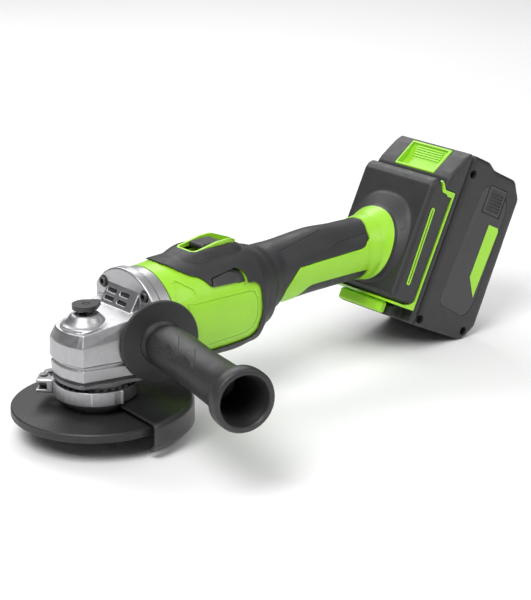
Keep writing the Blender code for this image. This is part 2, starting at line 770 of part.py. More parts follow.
def make_cover_screws():
    """Small screws driven up through the cover, their heads sunk in it."""
    seat = COVER_LOW + 1.6 - GAP
    screws = []
    for number, (x, y) in enumerate(cover_screw_places(), 1):
        profile = [(0, HEAD_LOW + 8), (SCREW_R, HEAD_LOW + 8), (SCREW_R, seat), (SCREW_HEAD_R, seat)]
        profile += [(SCREW_HEAD_R, seat - 1.4), (0.8, seat - 1.4), (0.6, seat - 0.6), (0, seat - 0.6)]
        screws.append(finish(turned("cover_screw_%d" % number, profile, (x, y, 0), steps=10), "black_steel"))
    return screws


def make_flange_screws():
    """Long socket screws through the flange into the motor housing, heads towards the nose."""
    screws = []
    for number, (y, z) in enumerate(flange_screw_places(), 1):
        profile = [(0, 50), (2.0, 50), (2.0, 26.5 - GAP), (3.5, 26.5 - GAP), (3.5, 22.9)]
        profile += [(3.1, 22.5), (1.8, 22.5), (1.5, 24.6), (0, 24.6)]
        screw = turned("flange_screw_%d" % number, profile, (0, y, z), (1, 0, 0), 10)
        screws.append(finish(screw, "black_steel"))
    return screws


def make_lock_button():
    """The spindle-lock button: a teardrop cap on a round stem."""
    outline = arc((BUTTON_X, 0), 8.2, 55, 305, 17) + [(BUTTON_X + 11.5, -2.5), (BUTTON_X + 11.5, 2.5)]
    button = plate("spindle_lock_button", outline, BUTTON_LOW, BUTTON_TOP, PLAN, 0.9)
    stem = rod("stem", 2.2, BUTTON_LOW - 4.6, BUTTON_LOW + 1, (LOCK_X, 0, 0), steps=16)
    return finish(join(button, stem), "dark_shell")


def make_lock_pin():
    """The plunger that drops into a hole of the crown gear to hold the spindle."""
    high = BUTTON_LOW - 4.6 - GAP
    low = CROWN_WEB + 1.2
    return finish(rod("lock_pin", 2.2, low, high, (LOCK_X, 0, 0), steps=16, chamfer=0.4), "bright_steel")


def make_lock_spring():
    """The return spring between the boss and the button's cap, as a plain coil sleeve."""
    low = LOCK_BOSS_TOP - SPRING_SEAT + GAP
    turns = 3
    wire = 0.35
    high = BUTTON_LOW - GAP
    per_turn = 10
    points = []
    for i in range(turns * per_turn + 1):
        angle = 2 * pi * i / per_turn
        rise = low + wire + (high - low - 2 * wire) * i / (turns * per_turn)
        points.append((LOCK_X + 4.2 * cos(angle), 4.2 * sin(angle), rise))
    return finish(wire_curve("lock_spring", points, wire), "bright_steel")


def wire_curve(name, points, radius):
    curve = bpy.data.curves.new(name, "CURVE")
    curve.dimensions = "3D"
    curve.bevel_depth = radius * MM
    curve.bevel_resolution = 0
    curve.use_fill_caps = True
    spline = curve.splines.new("POLY")
    spline.points.add(len(points) - 1)
    for point, place in zip(spline.points, points):
        point.co = (*(Vector(place) * MM), 1.0)
    return settle(link(name, curve))


def make_crown_gear():
    """The spindle's bevel gear: radial teeth on a nearly flat face, thinner than the gaps between them."""
    bottom = TOOTH_LOW - 6.5
    profile = [(CROWN_R + 0.6, TOOTH_LOW), (CROWN_R + 0.6, TOOTH_LOW - 3.5), (12.0, bottom)]
    profile += [(6.0 + GAP, bottom), (6.0 + GAP, CROWN_WEB), (12.4, TOOTH_LOW)]
    gear = turned("crown_gear", profile, steps=CROWN_TEETH)
    for quarter in range(4):
        turn = Matrix.Rotation(quarter * pi / 2, 3, "Z")
        centre = turn @ Vector((LOCK_X, 0, 0))
        gear = cut(gear, rod("lock_hole", 2.6, bottom - 1, TOOTH_LOW + 0.5, centre, steps=8))
    bm = bmesh.new()
    pitch = 2 * pi / CROWN_TEETH
    for i in range(CROWN_TEETH):
        turn = Matrix.Rotation(pitch * (i + 0.5), 4, "Z")
        cube = bmesh.ops.create_cube(bm, size=1.0)["verts"]
        for vert in cube:
            radius = CROWN_R + 0.5 if vert.co.x > 0 else 13.0
            high = vert.co.z > 0
            share = 0.14 if high else 0.22
            half = radius * pitch * share
            height = TOOTH_HIGH if high else TOOTH_LOW - 0.4
            vert.co = turn @ Vector((radius, copysign(half, vert.co.y), height))
    return finish(join(gear, from_bmesh("teeth", bm)), "black_steel")


def make_pinion():
    """The motor's bevel pinion, its teeth tapering to the apex over the spindle."""
    bm = bmesh.new()
    pitch = 2 * pi / PINION_TEETH
    ends = ((13.2, 13.2 / CROWN_R), (CROWN_R + 0.6, 1.0 + 0.6 / CROWN_R))
    rows = []
    for x, scale in ends:
        row = []
        for i in range(PINION_TEETH):
            centre = -pi / 2 + pitch * i
            for share, height in ((-0.27, -1.25), (-0.13, 0.75), (0.13, 0.75), (0.27, -1.25)):
                angle = centre + pitch * share
                radius = (PINION_R + height) * scale
                row.append(Vector((x, radius * cos(angle), MOTOR_Z + radius * sin(angle))))
        rows.append(row)
    pinion = loft("pinion", rows)
    pinion = join(pinion, rod("hub", 4.0, CROWN_R, 23.0, (0, 0, MOTOR_Z), (1, 0, 0), 24))
    pinion = cut(pinion, rod("bore", 2.5 + GAP, 8, 30, (0, 0, MOTOR_Z), (1, 0, 0), 20))
    return finish(pinion, "black_steel")


def make_spindle_bearings():
    lower = ring("spindle_bearing_lower", 16.0, SPINDLE_R + GAP, RIM_Z + 9.8, RIM_Z + 18.8, steps=28, chamfer=0.6)
    upper = ring("spindle_bush_upper", 5.2, SPINDLE_TOP_R + GAP, BUSH_LOW, BUSH_HIGH, steps=16)
    return finish(lower, "bright_steel"), finish(upper, "copper")


# ---------------------------------------------------------------- motor


def make_motor():
    """The brushless motor: shaft, rotor, stator with teeth, two bearings, fan and air baffle."""
    centre = (0, 0, MOTOR_Z)
    along = (1, 0, 0)
    shaft = [(0, 116), (2.2, 116), (2.5, 115.5), (2.5, 102.5), (4.0, 102.5), (4.0, 37), (2.5, 37), (2.5, 12), (0, 12)]
    finish(turned("motor_shaft", shaft, centre, along, 16), "bright_steel")
    finish(ring("rotor", 13.4, 4.0 + GAP, 58, 96, centre, along, 24), "black_steel")
    stator = ring("stator", 27.5, 14.2, 60, 92, centre, along, 28)
    for i in range(6):
        angle = 2 * pi * i / 6
        middle = (0, 19.5 * cos(angle), MOTOR_Z + 19.5 * sin(angle))
        stator = cut(stator, rod("slot", 3.4, 58, 94, middle, along, 8))
    finish(stator, "copper")
    finish(ring("front_bearing", 13.0, 2.5 + GAP, 24.5, 34.5, centre, along, 24, 0.6), "bright_steel")
    finish(ring("rear_bearing", 10.7, 2.5 + GAP, 104, 112, centre, along, 24, 0.6), "bright_steel")
    finish(make_fan(), "dark_shell")
    finish(ring("air_baffle", 31.3, 20.0, 56.6, 58.4, centre, along, 28), "dark_shell")


def make_fan():
    """A radial fan: a hub disc with curved blades."""
    centre = (0, 0, MOTOR_Z)
    fan = turned("cooling_fan", [(27, 46), (27, 44.4), (8, 42), (4.0 + GAP, 42), (4.0 + GAP, 52), (8, 52), (8, 46)][::-1], centre, (1, 0, 0), 24)
    for i in range(6):
        turn = 2 * pi * i / 6
        blade = []
        for radius in (7.6, 17.0, 26.5):
            blade.append((radius, turn + 0.030 * (radius - 7.6)))
        outer = [(r * cos(a + 0.03), r * sin(a + 0.03)) for r, a in blade]
        inner = [(r * cos(a - 0.03), r * sin(a - 0.03)) for r, a in reversed(blade)]
        place = axes((0, 0, MOTOR_Z), (0, 1, 0), (0, 0, 1))
        fan = join(fan, plate("blade", outer + inner, 45.5, 52.0, place))
    return fan


def make_motor_housing():
    """The green housing round the motor, with a spider at its rear that holds the rear bearing."""
    housing = body_skin("motor_housing", MOTOR_START, BODY_JOINT, -BODY_WALL, 0.0)
    centre = (0, 0, MOTOR_Z)
    along = (1, 0, 0)
    for y, z in flange_screw_places():
        post = rod("post", 4.2, MOTOR_START, 56, (0, y, z), along, 8)
        housing = join(housing, common(post, body_loft("limit", MOTOR_START, 60, -0.2)))
    spider = rod("spider", 40, 112.5, 115.5, centre, along, 8)
    spider = common(spider, body_loft("limit", MOTOR_START, BODY_JOINT, -1.0))
    housing = join(housing, spider, ring("cup", 13.2, 11.0, 103.5, 114, centre, along, 16))
    housing = cut(housing, rod("shaft_hole", 5.0, 100, 120, centre, along, 10))
    for i in range(4):
        angle = 2 * pi * (i + 0.5) / 4
        place = (0, 22 * cos(angle), MOTOR_Z + 22 * sin(angle))
        housing = cut(housing, rod("air_hole", 6.5, 110, 118, place, along, 8))
    for y, z in flange_screw_places():
        housing = cut(housing, rod("screw_hole", 2.0 + GAP, MOTOR_START - 1, 52, (0, y, z), along, 8))
    for side in (1, -1):
        low = (64, side * 45, RIM_Z + 66) if side < 0 else (64, 10, RIM_Z + 66)
        high = (104, -10, RIM_Z + 76) if side < 0 else (104, side * 45, RIM_Z + 76)
        housing = cut(housing, box("air_inlet", low, high, PLAN, 2.0))
    housing = cut(housing, box("switch_way", (76, -9, MOTOR_Z + 26), (112, 9, MOTOR_Z + 45)))
    housing = cut(housing, box("rod_way", (106, -3, MODULE_TOP - 1), (120, 3, SWITCH_ROD_Z + 3)))
    return finish(housing, "lime")


def make_side_covers():
    """The dark air-inlet cover on each side, with slots between its ribs."""
    for name, side in (("air_inlet_cover_right", -1), ("air_inlet_cover_left", 1)):
        cover = body_skin(name, 66, 102, -2.2, 0.5)
        low = (66, side * 45, RIM_Z + 66.6) if side < 0 else (66, 12, RIM_Z + 66.6)
        high = (102, -12, RIM_Z + 75.4) if side < 0 else (102, side * 45, RIM_Z + 75.4)
        cover = common(cover, box("window", low, high, PLAN, 1.5))
        for i in range(5):
            x = 71 + 6.4 * i
            low = (x - 1.6, -50, RIM_Z + 69)
            high = (x + 1.6, 50, RIM_Z + 73)
            cover = cut(cover, box("slot", low, high))
        finish(cover, "dark_shell")


def side_window():
    """The outline of the green side panel that the overmould leaves open, in the side view."""
    top = RIM_Z + 66
    panel = [(30, RIM_Z + 84), (46, RIM_Z + 84), (58, RIM_Z + 78.5), (64, RIM_Z + 77)]
    panel += [(104, RIM_Z + 77), (106, top)]
    panel += arc((107, top - 7), 7, 70, 0, 4)
    panel += arc((106, RIM_Z + 36), 8, 0, -80, 4)
    panel += [(66, RIM_Z + 25), (52, RIM_Z + 20), (30, RIM_Z + 18)]
    return panel


def make_overmould():
    """The soft grip moulded over the motor housing's top, rear and lower edge, raised round the switch."""
    grip = body_skin("motor_overmould", 46.0, BODY_JOINT, GAP, 1.6)
    hump = loft("hump", [hump_ring(x) for x in (60, 66, 72, 80, 92, 104, 112, 117.8)])
    hump = cut(hump, body_loft("inside", 40, 130, 1.0))
    grip = join(grip, hump)
    for side in (1, -1):
        low, high = (6, 60) if side < 0 else (-60, -6)
        grip = cut(grip, plate("window", side_window(), low, high, SIDE))
    grip = cut(grip, plate("pocket", switch_outline(0.0), MOTOR_Z + 20, MOTOR_Z + 60, PLAN))
    return finish(grip, "soft_grip")


def hump_ring(x):
    """A section of the raised pad that carries the switch."""
    rise = smooth_step(min(1.0, (x - 60) / 22))
    fall = smooth_step(min(1.0, max(0.0, (x - 104) / 16)))
    top = RIM_Z + 84.5 + 7.5 * rise - 5.0 * fall
    half = 15.0 + 2.0 * rise
    outline = superellipse(half, 9.0, 3.3, 20)
    return [Vector((x, y, top - 9 + rise)) for y, rise in outline]


def switch_outline(inset):
    """The switch frame's plan: square with round corners at the front, drawn in at the rear."""
    half = 10.5 - inset
    corner = 5.0 - inset
    outline = arc((74.5 + 5.0, half - corner), corner, 90, 180, 4)
    outline += arc((74.5 + 5.0, corner - half), corner, 180, 270, 4)
    outline += [(104, -half), (116.5 - inset, -5.5 + inset), (116.5 - inset, 5.5 - inset), (104, half)]
    return outline


def make_switch():
    """The green frame, the slider that runs in it, its rod and the switch module it works."""
    frame = plate("switch_frame", switch_outline(GAP), MOTOR_Z + 37.3, RIM_Z + 94.0, PLAN)
    frame = cut(frame, plate("window", switch_outline(2.2), MOTOR_Z + 30, RIM_Z + 100, PLAN))
    frame = cut(frame, body_loft("inside", 40, 130, 1.9))
    frame = cut(frame, make_frame_arch())
    finish(frame, "lime")
    slider = box("switch_slider", (85, -7.6, MOTOR_Z + 37.6), (103, 7.6, RIM_Z + 92.6), PLAN, 1.2)
    for i in range(4):
        x = 90 + 3 * i
        slider = cut(slider, box("groove", (x - 0.5, -6, RIM_Z + 92.0), (x + 0.5, 6, RIM_Z + 96)))
    foot = box("foot", (92, -3, SWITCH_ROD_Z + 1.5 + GAP), (101, 3, MOTOR_Z + 39))
    finish(join(slider, foot), "dark_shell")
    rod_bar = box("switch_rod", (99.5, -2, SWITCH_ROD_Z - 1.5), (126, 2, SWITCH_ROD_Z + 1.5))
    leg = box("leg", (123, -2, MODULE_TOP + 1.0), (126, 2, SWITCH_ROD_Z))
    finish(join(rod_bar, leg), "dark_shell")
    module = box("switch_module", (124, -10.5, MODULE_TOP - 15), (152, 10.5, MODULE_TOP), PLAN, 1.0)
    finish(module, "dark_shell")


def make_frame_arch():
    """Everything above the frame's arched top, which is highest behind the middle."""
    crest = [(60, 110), (60, RIM_Z + 89)]
    crest += [(72, RIM_Z + 89.5), (84, RIM_Z + 91.2), (96, RIM_Z + 93.4), (106, RIM_Z + 93.6), (118, RIM_Z + 89.5)]
    crest += [(130, RIM_Z + 86), (130, 130), (60, 130)]
    return plate("above", crest, -30, 30, SIDE)


# ---------------------------------------------------------------- handle and foot


def foot_outline():
    return [
        (-FOOT_DEEP + 2.0, FOOT_LOW),
        (-GAP, FOOT_LOW),
        (-GAP, 99.8),
        (-13.0, 99.8),
        (-18.0, FOOT_HIGH),
        (-23.0, FOOT_HIGH - 1.5),
        (-FOOT_DEEP, 99.0),
        (-FOOT_DEEP, 16.0),
    ]


def handle_loft(name, start, grow):
    """The handle and its neck as one form, from start to inside the foot."""
    return body_loft(name, start, BODY_END, grow, 8.0)


def make_handle_shells():
    """The handle and battery foot: one hollow form, parted down the middle into two shells."""
    whole = handle_loft("whole", BODY_JOINT + GAP, 0.0)
    whole = join(whole, plate("foot", foot_outline(), -FOOT_HALF, FOOT_HALF, BATTERY, 3.0))
    whole = cut(whole, handle_loft("hollow", BODY_JOINT - 1, -BODY_WALL - 0.4))
    whole = cut(whole, box("room", (-22.0, FOOT_LOW + 6, -29.0), (-16.5, 92, 29.0), BATTERY))
    whole = cut(whole, box("channel", (-CHANNEL_DEEP, -10, -CHANNEL_HALF), (10, 140, CHANNEL_HALF), BATTERY))
    whole = cut(whole, box("terminal_way", (-19.0, 30, -14), (0, 60, 14), BATTERY))
    whole = cut(whole, box("rod_way", (BODY_JOINT - 1, -2.6, MODULE_TOP), (128, 2.6, SWITCH_ROD_Z + 2)))
    whole = cut(whole, make_collar_groove())
    whole = cut(whole, make_stripe_recess())
    left = copy_of(whole, "handle_shell_left")
    left = cut(left, box("right_half", (100, -80, -20), (330, GAP / 2, 160)))
    whole = cut(whole, box("left_half", (100, -GAP / 2, -20), (330, 80, 160)))
    whole.name = "handle_shell_right"
    finish(left, "dark_shell")
    finish(whole, "dark_shell")


def make_collar_groove():
    groove = body_loft("groove", COLLAR_START, COLLAR_END, 5.0, 4.0)
    return cut(groove, body_loft("core", COLLAR_START - 4, COLLAR_END + 4, -1.2, 4.0))


def stripe_outline(grow=0.0):
    """The green inlay's side view: a long band with a pointed front that drops to the handle's underside."""
    return [
        (144.0 - 2 * grow, RIM_Z + 43.5 - grow),
        (163.0 - grow, RIM_Z + 62.5 + grow),
        (231.0, RIM_Z + 63.5 + grow),
        (231.0, RIM_Z + 47.5 - grow),
        (174.0, RIM_Z + 47.0 - grow),
        (165.0 + grow, RIM_Z + 38.0 - grow),
        (158.0, RIM_Z + 35.0 - grow),
    ]


def make_stripe_recess():
    outline = stripe_outline(GAP)
    ring_cut = cut(body_loft("recess", 140, COLLAR_START + 0.6, 5.0), body_loft("core", 130, 240, -1.2))
    return common(ring_cut, plate("outline", outline, -60, 60, SIDE))


def make_stripes():
    for name, side in (("handle_stripe_right", -1), ("handle_stripe_left", 1)):
        low, high = (4, 60) if side < 0 else (-60, -4)
        stripe = body_skin(name, 140, 230.7, -1.2 + GAP, 0.4)
        stripe = common(stripe, plate("outline", stripe_outline(0.0), low, high, SIDE))
        finish(stripe, "lime")


def make_handle_collar():
    """The green ring between the handle and the foot."""
    collar = body_loft("handle_collar", COLLAR_START + GAP, COLLAR_END - GAP, 1.6, 4.0)
    inside = body_loft("inside", COLLAR_START - 4, COLLAR_END + 4, -1.2 + GAP, 4.0)
    collar = cut(collar, inside)
    return finish(collar, "lime")


def make_foot_pieces():
    """The green seal round the joint, the end block below it, the terminals and the controller board."""
    seal = plate("foot_seal", foot_seal_outline(), -FOOT_HALF - 0.4, FOOT_HALF + 0.4, BATTERY)
    rail_way = box("rail_way", (-CHANNEL_DEEP, -10, -CHANNEL_HALF), (10, 40, CHANNEL_HALF), BATTERY)
    finish(cut(seal, rail_way), "lime")
    block = box("foot_end_block", (-19.5, 0.5, -22), (-CHANNEL_DEEP - 0.3, FOOT_LOW - 2.0 - GAP, 22), BATTERY, 1.5)
    finish(block, "lime")
    low = (-CHANNEL_DEEP + GAP, 30, -TERMINAL_HALF)
    high = (-RAIL_DEEP - GAP, 60, TERMINAL_HALF)
    terminals = box("terminal_block", low, high, BATTERY, 0.3)
    for y in (-8, 0, 8):
        blade = box("blade", (-RAIL_DEEP - 0.5, 36, y - 0.5), (-2.5, 50, y + 0.5), BATTERY)
        terminals = join(terminals, blade)
    finish(terminals, "copper")
    board = box("controller_board", (170, -1.2, RIM_Z + 44), (224, 1.2, RIM_Z + 74), PLAN)
    board = join(board, box("capacitor", (176, 1.0, RIM_Z + 50), (196, 8, RIM_Z + 60), PLAN, 1.0))
    finish(board, "board")


def foot_seal_outline():
    """A strip below the foot, which closes its lower end round the rails."""
    low = FOOT_LOW - 2.0
    return [(-FOOT_DEEP + 1.5, low), (-GAP, low), (-GAP, FOOT_LOW - GAP), (-FOOT_DEEP + 2.5, FOOT_LOW - GAP)]


# ---------------------------------------------------------------- battery


def battery_outline(front, inset=0.0):
    """The rear shell's side view from front back: chamfered heel, upright back and stepped top."""
    return [
        (front, inset),
        (61.5, inset + 0.8),
        (BATTERY_DEEP - inset, 14.0 + inset / 2),
        (BATTERY_DEEP - 1.5 - inset, 115.0),
        (59.5, 127.0 - inset),
        (33.5, 127.6 - inset),
        (26.0, BATTERY_LONG - inset),
        (front, BATTERY_LONG - inset),
    ]


def make_battery_base():
    """The front shell: the joint face with its rails, and the leaning top block with the latch pocket."""
    outline = [
        (0, 0),
        (BASE_DEEP, 0),
        (BASE_DEEP, BATTERY_LONG),
        (0.8, BATTERY_LONG),
        (-12.5, 107.5),
        (-12.5, 100.4),
        (0, 100.4),
    ]
    base = plate("battery_base", outline, -BATTERY_HALF, BATTERY_HALF, BATTERY, 1.2)
    rail = box("rails", (-RAIL_DEEP, 0, -RAIL_HALF), (1, 101.5, RAIL_HALF), BATTERY)
    inner = TERMINAL_HALF + 0.6
    left_lip = box("left_lip", (-CHANNEL_DEEP + 0.6, 0, -RAIL_HALF), (-4, 8.0, -inner), BATTERY)
    right_lip = box("right_lip", (-CHANNEL_DEEP + 0.6, 0, inner), (-4, 8.0, RAIL_HALF), BATTERY)
    base = join(base, rail, left_lip, right_lip)
    for y in (-8, 0, 8):
        base = cut(base, box("blade_slot", (-RAIL_DEEP - 5, -2, y - 1.2), (-1.2, 62, y + 1.2), BATTERY))
    base = cut(base, latch_room(0.6, 7.0))
    return finish(base, "dark_shell")


def latch_frame():
    """A frame on the leaning top face: first axis up the slope, second across, third out of the face."""
    low = BATTERY @ Vector((-12.5, 107.5, 0))
    high = BATTERY @ Vector((0.8, BATTERY_LONG, 0))
    slope = (high - low).normalized()
    return axes(low, slope, (0, 1, 0))


def latch_room(grow, depth):
    return box("room", (2.6 - grow, -20 - grow, -depth), (24.0 + grow, 20 + grow, 3), latch_frame())


def make_latch():
    """The release latch: a framed push pad with a ribbed, hollowed face."""
    latch = box("battery_latch", (2.6, -20, -2.4), (24.0, 20, 0.8), latch_frame(), 0.8)
    pocket = box("pocket", (5.2, -16.5, -1.2), (21.4, 16.5, 5), latch_frame(), 0.8)
    latch = cut(latch, pocket)
    for i in range(4):
        along = 8.0 + 3.4 * i
        latch = join(latch, box("rib", (along - 0.6, -12, -1.6), (along + 0.6, 12, -0.5), latch_frame()))
    return finish(latch, "lime")


def make_battery_cover():
    """The rear shell, open towards the front shell, with the gauge button's pocket in its right side."""
    front = BASE_DEEP + GAP
    wall = 2.6
    half = BATTERY_HALF - wall
    cover = plate("battery_cover", battery_outline(front), -BATTERY_HALF, BATTERY_HALF, BATTERY, 3.0)
    cover = cut(cover, plate("inside", battery_outline(front - 5, wall), -half, half, BATTERY))
    cover = cut(cover, gauge_box("pocket", GAP, 8.0))
    for v in (30, 42, 54, 66, 78, 90):
        cover = cut(cover, box("rear_groove", (BATTERY_DEEP - 2.9, v, -28), (BATTERY_DEEP + 5, v + 4, 28), BATTERY))
    return finish(cover, "dark_shell")


def gauge_box(name, grow, depth):
    low = (34.0 - grow, 96.0 - grow, BATTERY_HALF - depth)
    high = (53.5 + grow, 116.5 + grow, BATTERY_HALF + 0.4)
    return box(name, low, high, BATTERY)


def make_gauge_button():
    """The charge-gauge button on the battery's right side, ribbed across."""
    low = (34.0, 96.0, BATTERY_HALF - 2.2)
    high = (53.5, 116.5, BATTERY_HALF + 0.3)
    button = box("charge_gauge_button", low, high, BATTERY, 0.5)
    for i in range(5):
        v = 99.5 + 3.2 * i
        groove = box("groove", (36, v, BATTERY_HALF - 0.4), (51.5, v + 1.0, BATTERY_HALF + 1), BATTERY)
        button = cut(button, groove)
    return finish(button, "dark_shell")


def make_cell_pack():
    """Twelve cells in three rows, held by a carrier block."""
    pack = box("cell_pack", (9, 24, -22), (60, 100, 22), BATTERY)
    bm = bmesh.new()
    for row in range(3):
        for column in range(4):
            centre = BATTERY @ Vector((15.5 + 20.0 * row, 29.0 + 21.0 * column, 0))
            matrix = Matrix.Translation(centre) @ Matrix.Rotation(radians(90), 4, "X")
            bmesh.ops.create_cone(
                bm, cap_ends=True, segments=8, radius1=9.2, radius2=9.2, depth=62, matrix=matrix
            )
    return finish(join(pack, from_bmesh("cells", bm)), "cell_steel")


# ---------------------------------------------------------------- side handle


def make_side_handle():
    """The grip with its hand flange, end flange and deep hollow end."""
    grip_r = 15.2
    outer = [
        (13.0, HANDLE_FACE),
        (HAND_FLANGE_R - 1.0, HANDLE_FACE),
        (HAND_FLANGE_R, HANDLE_FACE + 1.2),
        (HAND_FLANGE_R - 0.6, HANDLE_FACE + 2.8),
        (14.5, HANDLE_FACE + 5.0),
        (13.2, HANDLE_FACE + 7.5),
        (13.2, HANDLE_FACE + 12.0),
        (14.8, HANDLE_FACE + 14.0),
        (grip_r, HANDLE_FACE + 30.0),
        (grip_r - 0.8, HANDLE_FACE + 62.0),
        (grip_r, HANDLE_FACE + 96.0),
        (grip_r + 1.6, HANDLE_FACE + 110.0),
        (20.2, HANDLE_END - 9.0),
        (20.8, HANDLE_END - 5.0),
        (20.4, HANDLE_END - 0.8),
        (19.4, HANDLE_END),
        (16.2, HANDLE_END),
    ]
    inner = [
        (15.4, HANDLE_END - 4.5),
        (14.6, HANDLE_END - 6.0),
        (12.5, HANDLE_END - 40.0),
        (STUD_R + GAP, HANDLE_END - 42.0),
    ]
    profile = outer + inner + [(STUD_R + GAP, HANDLE_FACE)]
    grip = turned("side_handle", profile[::-1], HANDLE_BASE, HANDLE_AXIS, 24)
    finish(grip, "soft_grip")
    finish(rod("side_handle_stud", STUD_R, 21, 112, HANDLE_BASE, HANDLE_AXIS, 20, 0.6), "bright_steel")


# ---------------------------------------------------------------- assembly


def pivot(name, place, pieces):
    """An empty on a joint's axis, with the moving pieces under it."""
    empty = bpy.data.objects.new(name, None)
    parts_collection().objects.link(empty)
    empty.location = Vector(place) * MM
    bpy.context.view_layer.update()
    for piece in pieces:
        child = bpy.data.objects[piece]
        child.parent = empty
        child.matrix_parent_inverse = empty.matrix_world.inverted()


def add_pivots():
    pivot("spindle_axis", (0, 0, 0), ("spindle", "crown_gear", "inner_flange", "grinding_wheel", "clamp_nut"))
    pivot("rotor_axis", (0, 0, MOTOR_Z), ("motor_shaft", "pinion", "rotor", "cooling_fan"))
    pivot("guard_axis", (0, 0, 0), ("guard", "clamp_band", "lever_pin", "link_pin"))
    pivot("lever_axis", (*LEVER_PIN, 0), ("clamp_lever",))
    pivot("lock_axis", (BUTTON_X, 0, BUTTON_TOP), ("spindle_lock_button", "lock_pin"))
    pivot("switch_track", (96, 0, RIM_Z + 92), ("switch_slider", "switch_rod"))
    pivot("side_handle_axis", HANDLE_BASE, ("side_handle", "side_handle_stud"))
    pivot("battery_track", (HEEL[0], 0, HEEL[1]), ("battery_base", "battery_cover", "cell_pack"))


def build():
    for leftover in list(bpy.data.objects):
        bpy.data.objects.remove(leftover)
    make_spindle()
    make_wheel()
    make_inner_flange()
    make_clamp_nut()
    make_guard()
    make_clamp_band()
    make_clamp_lever()
    make_clamp_pins()
    make_gear_housing()
    make_bearing_cover()
    make_gasket()
    make_cover_screws()
    make_flange_screws()
    make_lock_button()
    make_lock_pin()
    make_lock_spring()
    make_crown_gear()
    make_pinion()
    make_spindle_bearings()
    make_motor()
    make_motor_housing()
    make_side_covers()
    make_overmould()
    make_switch()
    make_handle_shells()
    make_stripes()
    make_handle_collar()
    make_foot_pieces()
    make_battery_base()
    make_latch()
    make_battery_cover()
    make_gauge_button()
    make_cell_pack()
    make_side_handle()
    add_pivots()


build()
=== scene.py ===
"""The looks of a cordless angle grinder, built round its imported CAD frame. Shapes are in millimetres."""

import json
from math import asin, atan2, ceil, copysign, cos, degrees, pi, radians, sin, tan

import bmesh
import bpy
from mathutils import Matrix, Vector

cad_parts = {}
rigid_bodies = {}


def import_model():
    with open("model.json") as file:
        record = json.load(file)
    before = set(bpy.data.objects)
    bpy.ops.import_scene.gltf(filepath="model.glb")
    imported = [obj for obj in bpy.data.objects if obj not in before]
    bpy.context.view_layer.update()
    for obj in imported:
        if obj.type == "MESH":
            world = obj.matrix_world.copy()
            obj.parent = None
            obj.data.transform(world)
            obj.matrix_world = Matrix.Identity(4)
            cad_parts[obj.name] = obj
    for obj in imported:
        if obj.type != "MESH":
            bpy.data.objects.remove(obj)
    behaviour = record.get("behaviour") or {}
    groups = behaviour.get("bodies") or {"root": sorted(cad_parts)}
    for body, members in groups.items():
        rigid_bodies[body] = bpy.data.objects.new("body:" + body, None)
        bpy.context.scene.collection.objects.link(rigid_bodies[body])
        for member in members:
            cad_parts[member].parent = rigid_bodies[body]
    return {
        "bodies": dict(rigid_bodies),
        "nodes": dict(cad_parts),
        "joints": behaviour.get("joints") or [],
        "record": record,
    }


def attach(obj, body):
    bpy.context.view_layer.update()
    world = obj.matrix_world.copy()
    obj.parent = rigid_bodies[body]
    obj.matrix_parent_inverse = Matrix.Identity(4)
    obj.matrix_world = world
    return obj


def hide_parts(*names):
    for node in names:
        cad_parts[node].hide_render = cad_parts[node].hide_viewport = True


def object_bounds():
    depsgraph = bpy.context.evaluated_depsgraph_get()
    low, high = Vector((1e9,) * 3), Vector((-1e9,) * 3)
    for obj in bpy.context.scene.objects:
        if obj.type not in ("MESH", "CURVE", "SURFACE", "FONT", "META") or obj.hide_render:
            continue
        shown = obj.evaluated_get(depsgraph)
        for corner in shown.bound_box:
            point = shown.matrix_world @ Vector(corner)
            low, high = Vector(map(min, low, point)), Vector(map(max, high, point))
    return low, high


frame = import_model()
cad_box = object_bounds()
BODIES = frame["record"]["behaviour"]["bodies"]

MM = 0.001
GAP = 0.3
RIM_Z = 14.0
# the wheel, its flanges and the guard
WHEEL_R = 57.5
WHEEL_THICK = 6.0
BORE_R = 11.1
THREAD_R = 7.0
FLANGE_R = 21.0
FLANGE_THICK = 5.0
NUT_R = 20.0
NUT_THICK = 5.0
COLLAR_R = 25.6
COLLAR_WALL = 1.7
COLLAR_TOP = RIM_Z + 17.5
PLATE_Z = RIM_Z + 6.5
GUARD_R = 64.5
GUARD_WALL = 1.8
GUARD_LOW = RIM_Z - 17.0
GUARD_TURN = -2.0
COLLAR_TEETH = 30
LEVER_LOW = RIM_Z + 7.4
LEVER_HIGH = RIM_Z + 17.0
LEVER_PIN = (-23.0, 27.5)
NECK_R = COLLAR_R - COLLAR_WALL - 0.4
# the gear head
HEAD_LOW = RIM_Z + 23.7
HEAD_STEP = RIM_Z + 34.8
SHOULDER_Z = RIM_Z + 47.8
ROOF_Z = RIM_Z + 55.1
ROOF_SLOPE = 0.18
NOSE_X = -28.6
CORNER = (-24.3, 18.6)
FLARE = radians(14.3)
HEAD_WALL = 3.2
GASKET_THICK = 1.0
COVER_THICK = 3.4
COVER_LOW = HEAD_LOW - GASKET_THICK - 2 * GAP - COVER_THICK
SCREW_R = 1.2
SCREW_HEAD_R = 1.7
BUTTON_X = -8.0
LOCK_X = -9.0
LOCK_BOSS_TOP = RIM_Z + 64.5
OUTLET_FOOT = (16.6, RIM_Z + 62.8)
OUTLET_CREST = (25.4, RIM_Z + 77.2)
OUTLET_HALF = 17.0
SPRING_SEAT = 2.5
BUTTON_LOW = RIM_Z + 67.8
BUTTON_TOP = RIM_Z + 71.0
